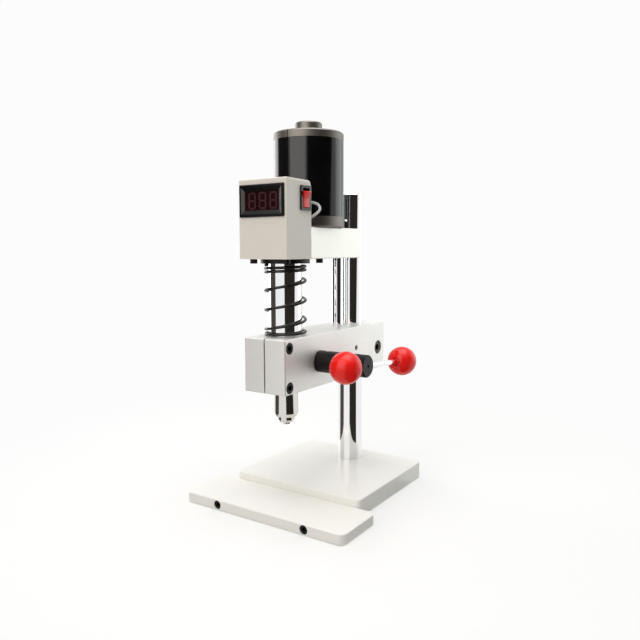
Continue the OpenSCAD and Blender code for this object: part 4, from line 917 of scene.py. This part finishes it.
class BENCHDRILL_OT_lead(bpy.types.Operator):
    """Lay the motor lead from the back of the box to the motor's lower cap"""

    bl_idname = "bench_drill.lead"
    bl_label = "Lay the Motor Lead"

    def execute(self, context):
        s = context.scene.bench_drill.lead
        start = Vector(s.start)
        path = through([start + Vector(p) * MM for p in LEAD_ROUTE], LEAD_STEPS)
        length = sum((b - a).length for a, b in zip(path, path[1:]))
        piece = tube("motor_lead_jacket", path, s.thick / 2, LEAD_SIDES)
        wear(piece, "head", "lead_grey")
        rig.replaces(piece, "motor_lead")
        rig.cord(
            piece, exit=tuple(path[0]), length=length, diameter=s.thick, far_end="object",
            stiffness="limp", lay="loose", path=[tuple(p) for p in path],
        )
        return {"FINISHED"}


# Stage, in metres and degrees

WHITE = srgb("FFFFFF")

# The column's foot, the middle of the drill on the floor, and where the lamps aim
COLUMN_PLACE = (0, 0.112)
DRILL_PLACE = (0, 0.04)
AIM = (*DRILL_PLACE, 0.17)

SENSOR = 36
CLIP_NEAR, CLIP_FAR = 0.01, 30

FLOOR_REACH = 8.0
# How much light the floor gives of its own to rays that see it directly
FLOOR_GLOW = 0.46
# From the nearer of these distances to the farther the floor fades into the backdrop
FADE_FROM, FADE_TO = 0.16, 0.46

# A card's strip of floor starts this near the column and ends this far from it,
# this high, and the card stands on it up to this height
CARD_NEAR, CARD_FAR, CARD_FOOT, CARD_TOP = 0.03, 0.95, 0.002, 0.9
CARD_STEPS = 12


def around(azimuth, distance, height, centre=DRILL_PLACE):
    """A point at a compass angle about the drill, 0 in front and 90 on its right."""
    a = math.radians(azimuth)
    return Vector((centre[0] + distance * math.sin(a), centre[1] - distance * math.cos(a), height))


def card(name, first, last, wider, tone):
    """A curved dark card from the angle first to last, with a dark strip of floor before it,
    and wider degrees wider at its top. Only reflections see it, so that bright metal keeps
    its dark bands."""
    rows = ((CARD_NEAR, CARD_FOOT, 0), (CARD_FAR, CARD_FOOT, 0), (CARD_FAR, CARD_TOP, wider))
    verts, faces = [], []
    for i in range(CARD_STEPS + 1):
        for reach, level, more in rows:
            azimuth = first + (last + more - first) * i / CARD_STEPS
            verts.append(around(azimuth, reach, level, COLUMN_PLACE))
    for i in range(CARD_STEPS):
        for k in (3 * i, 3 * i + 1):
            faces.append((k, k + 3, k + 4, k + 1))
    made = new_piece(name, verts, faces)
    finish = new_finish(
        name + "_cloth", Base_Color=srgb(tone), Roughness=1.0, Specular_IOR_Level=0.0
    )[0]
    made.data.materials.append(finish)
    made.visible_camera = False
    made.visible_diffuse = False
    made.visible_transmission = False
    made.visible_shadow = False
    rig.stage(made)


def softbox(name, place, wide, tall, power, colour="FFFFFF"):
    """A soft rectangular lamp that faces the drill."""
    lamp = bpy.data.lights.new(name, "AREA")
    lamp.shape = "RECTANGLE"
    lamp.size, lamp.size_y = wide, tall
    lamp.energy = power
    lamp.color = srgb(colour)[:3]
    made = bpy.data.objects.new(name, lamp)
    made.location = place
    made.rotation_mode = "QUATERNION"
    made.rotation_quaternion = (Vector(AIM) - Vector(place)).to_track_quat("-Z", "Y")
    made.visible_camera = False
    bpy.context.scene.collection.objects.link(made)


def seen_directly(tree):
    """1 for rays from the camera, from reflections and through glass, and 0 for the rest."""
    path = add(tree, "ShaderNodeLightPath")
    first = add(
        tree, "ShaderNodeMath",
        {0: path.outputs["Is Camera Ray"], 1: path.outputs["Is Glossy Ray"]},
        operation="MAXIMUM",
    )
    return add(
        tree, "ShaderNodeMath",
        {0: first.outputs[0], 1: path.outputs["Is Transmission Ray"]},
        operation="MAXIMUM",
    ).outputs[0]


def set_camera(scene, s):
    """The camera at the photograph's viewing angle."""
    camera = bpy.data.cameras.new("camera")
    camera.lens = s.lens
    camera.sensor_width = SENSOR
    camera.shift_x, camera.shift_y = s.shift
    camera.clip_start, camera.clip_end = CLIP_NEAR, CLIP_FAR
    holder = bpy.data.objects.new("camera", camera)
    turn = Matrix.Rotation(s.camera_turn, 4, "Z")
    tilt = Matrix.Rotation(s.camera_tilt, 4, "X")
    roll = Matrix.Rotation(s.camera_roll, 4, "Z")
    holder.matrix_world = Matrix.Translation(Vector(s.camera_place)) @ turn @ tilt @ roll
    scene.collection.objects.link(holder)
    scene.camera = holder


def lay_floor(s):
    """A pale matt floor that takes the drill's shadow and fades into the white backdrop."""
    corners = ((-1, -1), (1, -1), (1, 1), (-1, 1))
    floor = new_piece(
        "floor", [(x * FLOOR_REACH, y * FLOOR_REACH, 0) for x, y in corners], [(0, 1, 2, 3)]
    )
    finish, tree, shader = new_finish(
        "pale_floor", Base_Color=(*s.floor_colour, 1.0), Roughness=0.9,
        Specular_IOR_Level=0.1, Emission_Color=WHITE,
    )
    direct = seen_directly(tree)
    lift = add(tree, "ShaderNodeMath", {0: direct, 1: FLOOR_GLOW}, operation="MULTIPLY")
    tree.links.new(lift.outputs[0], shader.inputs["Emission Strength"])
    place = add(tree, "ShaderNodeNewGeometry").outputs["Position"]
    away = add(
        tree, "ShaderNodeVectorMath", {0: place, 1: (*COLUMN_PLACE, 0)}, operation="DISTANCE"
    )
    fade = add(
        tree, "ShaderNodeMapRange",
        {"Value": away.outputs["Value"], "From Min": FADE_FROM, "From Max": FADE_TO},
        interpolation_type="SMOOTHSTEP",
    )
    share = add(
        tree, "ShaderNodeMath", {0: fade.outputs["Result"], 1: direct}, operation="MULTIPLY"
    )
    white = add(tree, "ShaderNodeEmission", {"Color": WHITE, "Strength": s.backdrop})
    mixed = add(
        tree, "ShaderNodeMixShader",
        {"Fac": share.outputs[0], 1: shader.outputs["BSDF"], 2: white.outputs["Emission"]},
    )
    tree.links.new(mixed.outputs["Shader"], tree.get_output_node("ALL").inputs["Surface"])
    floor.data.materials.append(finish)
    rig.stage(floor)


def light_room(scene, s):
    """White to rays that see the room directly, and a dimmer even light on matt surfaces."""
    world = bpy.data.worlds.new("studio")
    world.use_nodes = True
    tree = world.node_tree
    tree.nodes.clear()
    level = add(
        tree, "ShaderNodeMapRange",
        {"Value": seen_directly(tree), "To Min": s.fill, "To Max": s.backdrop},
    )
    sky = add(
        tree, "ShaderNodeBackground", {"Color": WHITE, "Strength": level.outputs["Result"]}
    )
    add(tree, "ShaderNodeOutputWorld", {"Surface": sky.outputs[0]})
    scene.world = world


class BENCHDRILL_OT_stage(bpy.types.Operator):
    """Set the pale floor, the soft lights and the camera"""

    bl_idname = "bench_drill.stage"
    bl_label = "Set the Studio"

    def execute(self, context):
        s = context.scene.bench_drill.stage
        context.scene.view_settings.view_transform = "Standard"
        set_camera(context.scene, s)
        lay_floor(s)
        light_room(context.scene, s)
        # each lamp's place, width and height, power and tint
        softbox("key_softbox", around(-1, 1.0, 0.8), 1.15, 1.25, s.key_power, "FFF9F1")
        softbox("top_softbox", (0.1, 0.1, 1.5), 1.2, 1.2, s.top_power)
        softbox("right_softbox", around(149, 1.2, 0.4), 0.73, 0.8, s.right_power, "EAF6F0")
        softbox("left_softbox", around(-103, 1.2, 0.4), 0.9, 0.8, s.left_power)
        # from which angle to which each card stands, how much wider it is at its top, its tone
        card("left_card", -76, -30, 0, "4A4643")
        card("right_card", 27, 92, 34, "2A2724")
        return {"FINISHED"}


# Panel and registration


class BENCHDRILL_PT_pieces(bpy.types.Panel):
    bl_idname = "BENCHDRILL_PT_pieces"
    bl_label = "Bench Drill"
    bl_space_type = "VIEW_3D"
    bl_region_type = "UI"
    bl_category = "Bench Drill"

    def draw(self, context):
        column = self.layout.column(align=True)
        for kind in OPERATORS:
            column.operator(kind.bl_idname)
        held = context.scene.bench_drill
        for group in (held.spring, held.rocker, held.lead, held.colours, held.stage):
            box = self.layout.box()
            for name in group.__annotations__:
                box.prop(group, name)


OPERATORS = (
    BENCHDRILL_OT_finishes,
    BENCHDRILL_OT_spring,
    BENCHDRILL_OT_rocker,
    BENCHDRILL_OT_lead,
    BENCHDRILL_OT_stage,
)
CLASSES = (
    BenchDrillSpring,
    BenchDrillRocker,
    BenchDrillLead,
    BenchDrillColours,
    BenchDrillStage,
    BenchDrillSettings,
    *OPERATORS,
    BENCHDRILL_PT_pieces,
)


def register():
    for kind in CLASSES:
        bpy.utils.register_class(kind)
    bpy.types.Scene.bench_drill = PointerProperty(type=BenchDrillSettings)


def unregister():
    del bpy.types.Scene.bench_drill
    for kind in reversed(CLASSES):
        bpy.utils.unregister_class(kind)


def write_sizes():
    """Writes the CAD box and the dressed box, so that the two can be compared."""
    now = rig.bounds()
    with open(bpy.context.scene.bench_drill.written, "w") as out:
        json.dump({"cad": [list(v) for v in CAD_BOX], "visual": [list(v) for v in now]}, out)


def main():
    register()
    bpy.ops.bench_drill.stage()
    bpy.ops.bench_drill.lead()
    bpy.ops.bench_drill.finishes()
    bpy.ops.bench_drill.spring()
    bpy.ops.bench_drill.rocker()
    write_sizes()


if __name__ == "__main__":
    main()
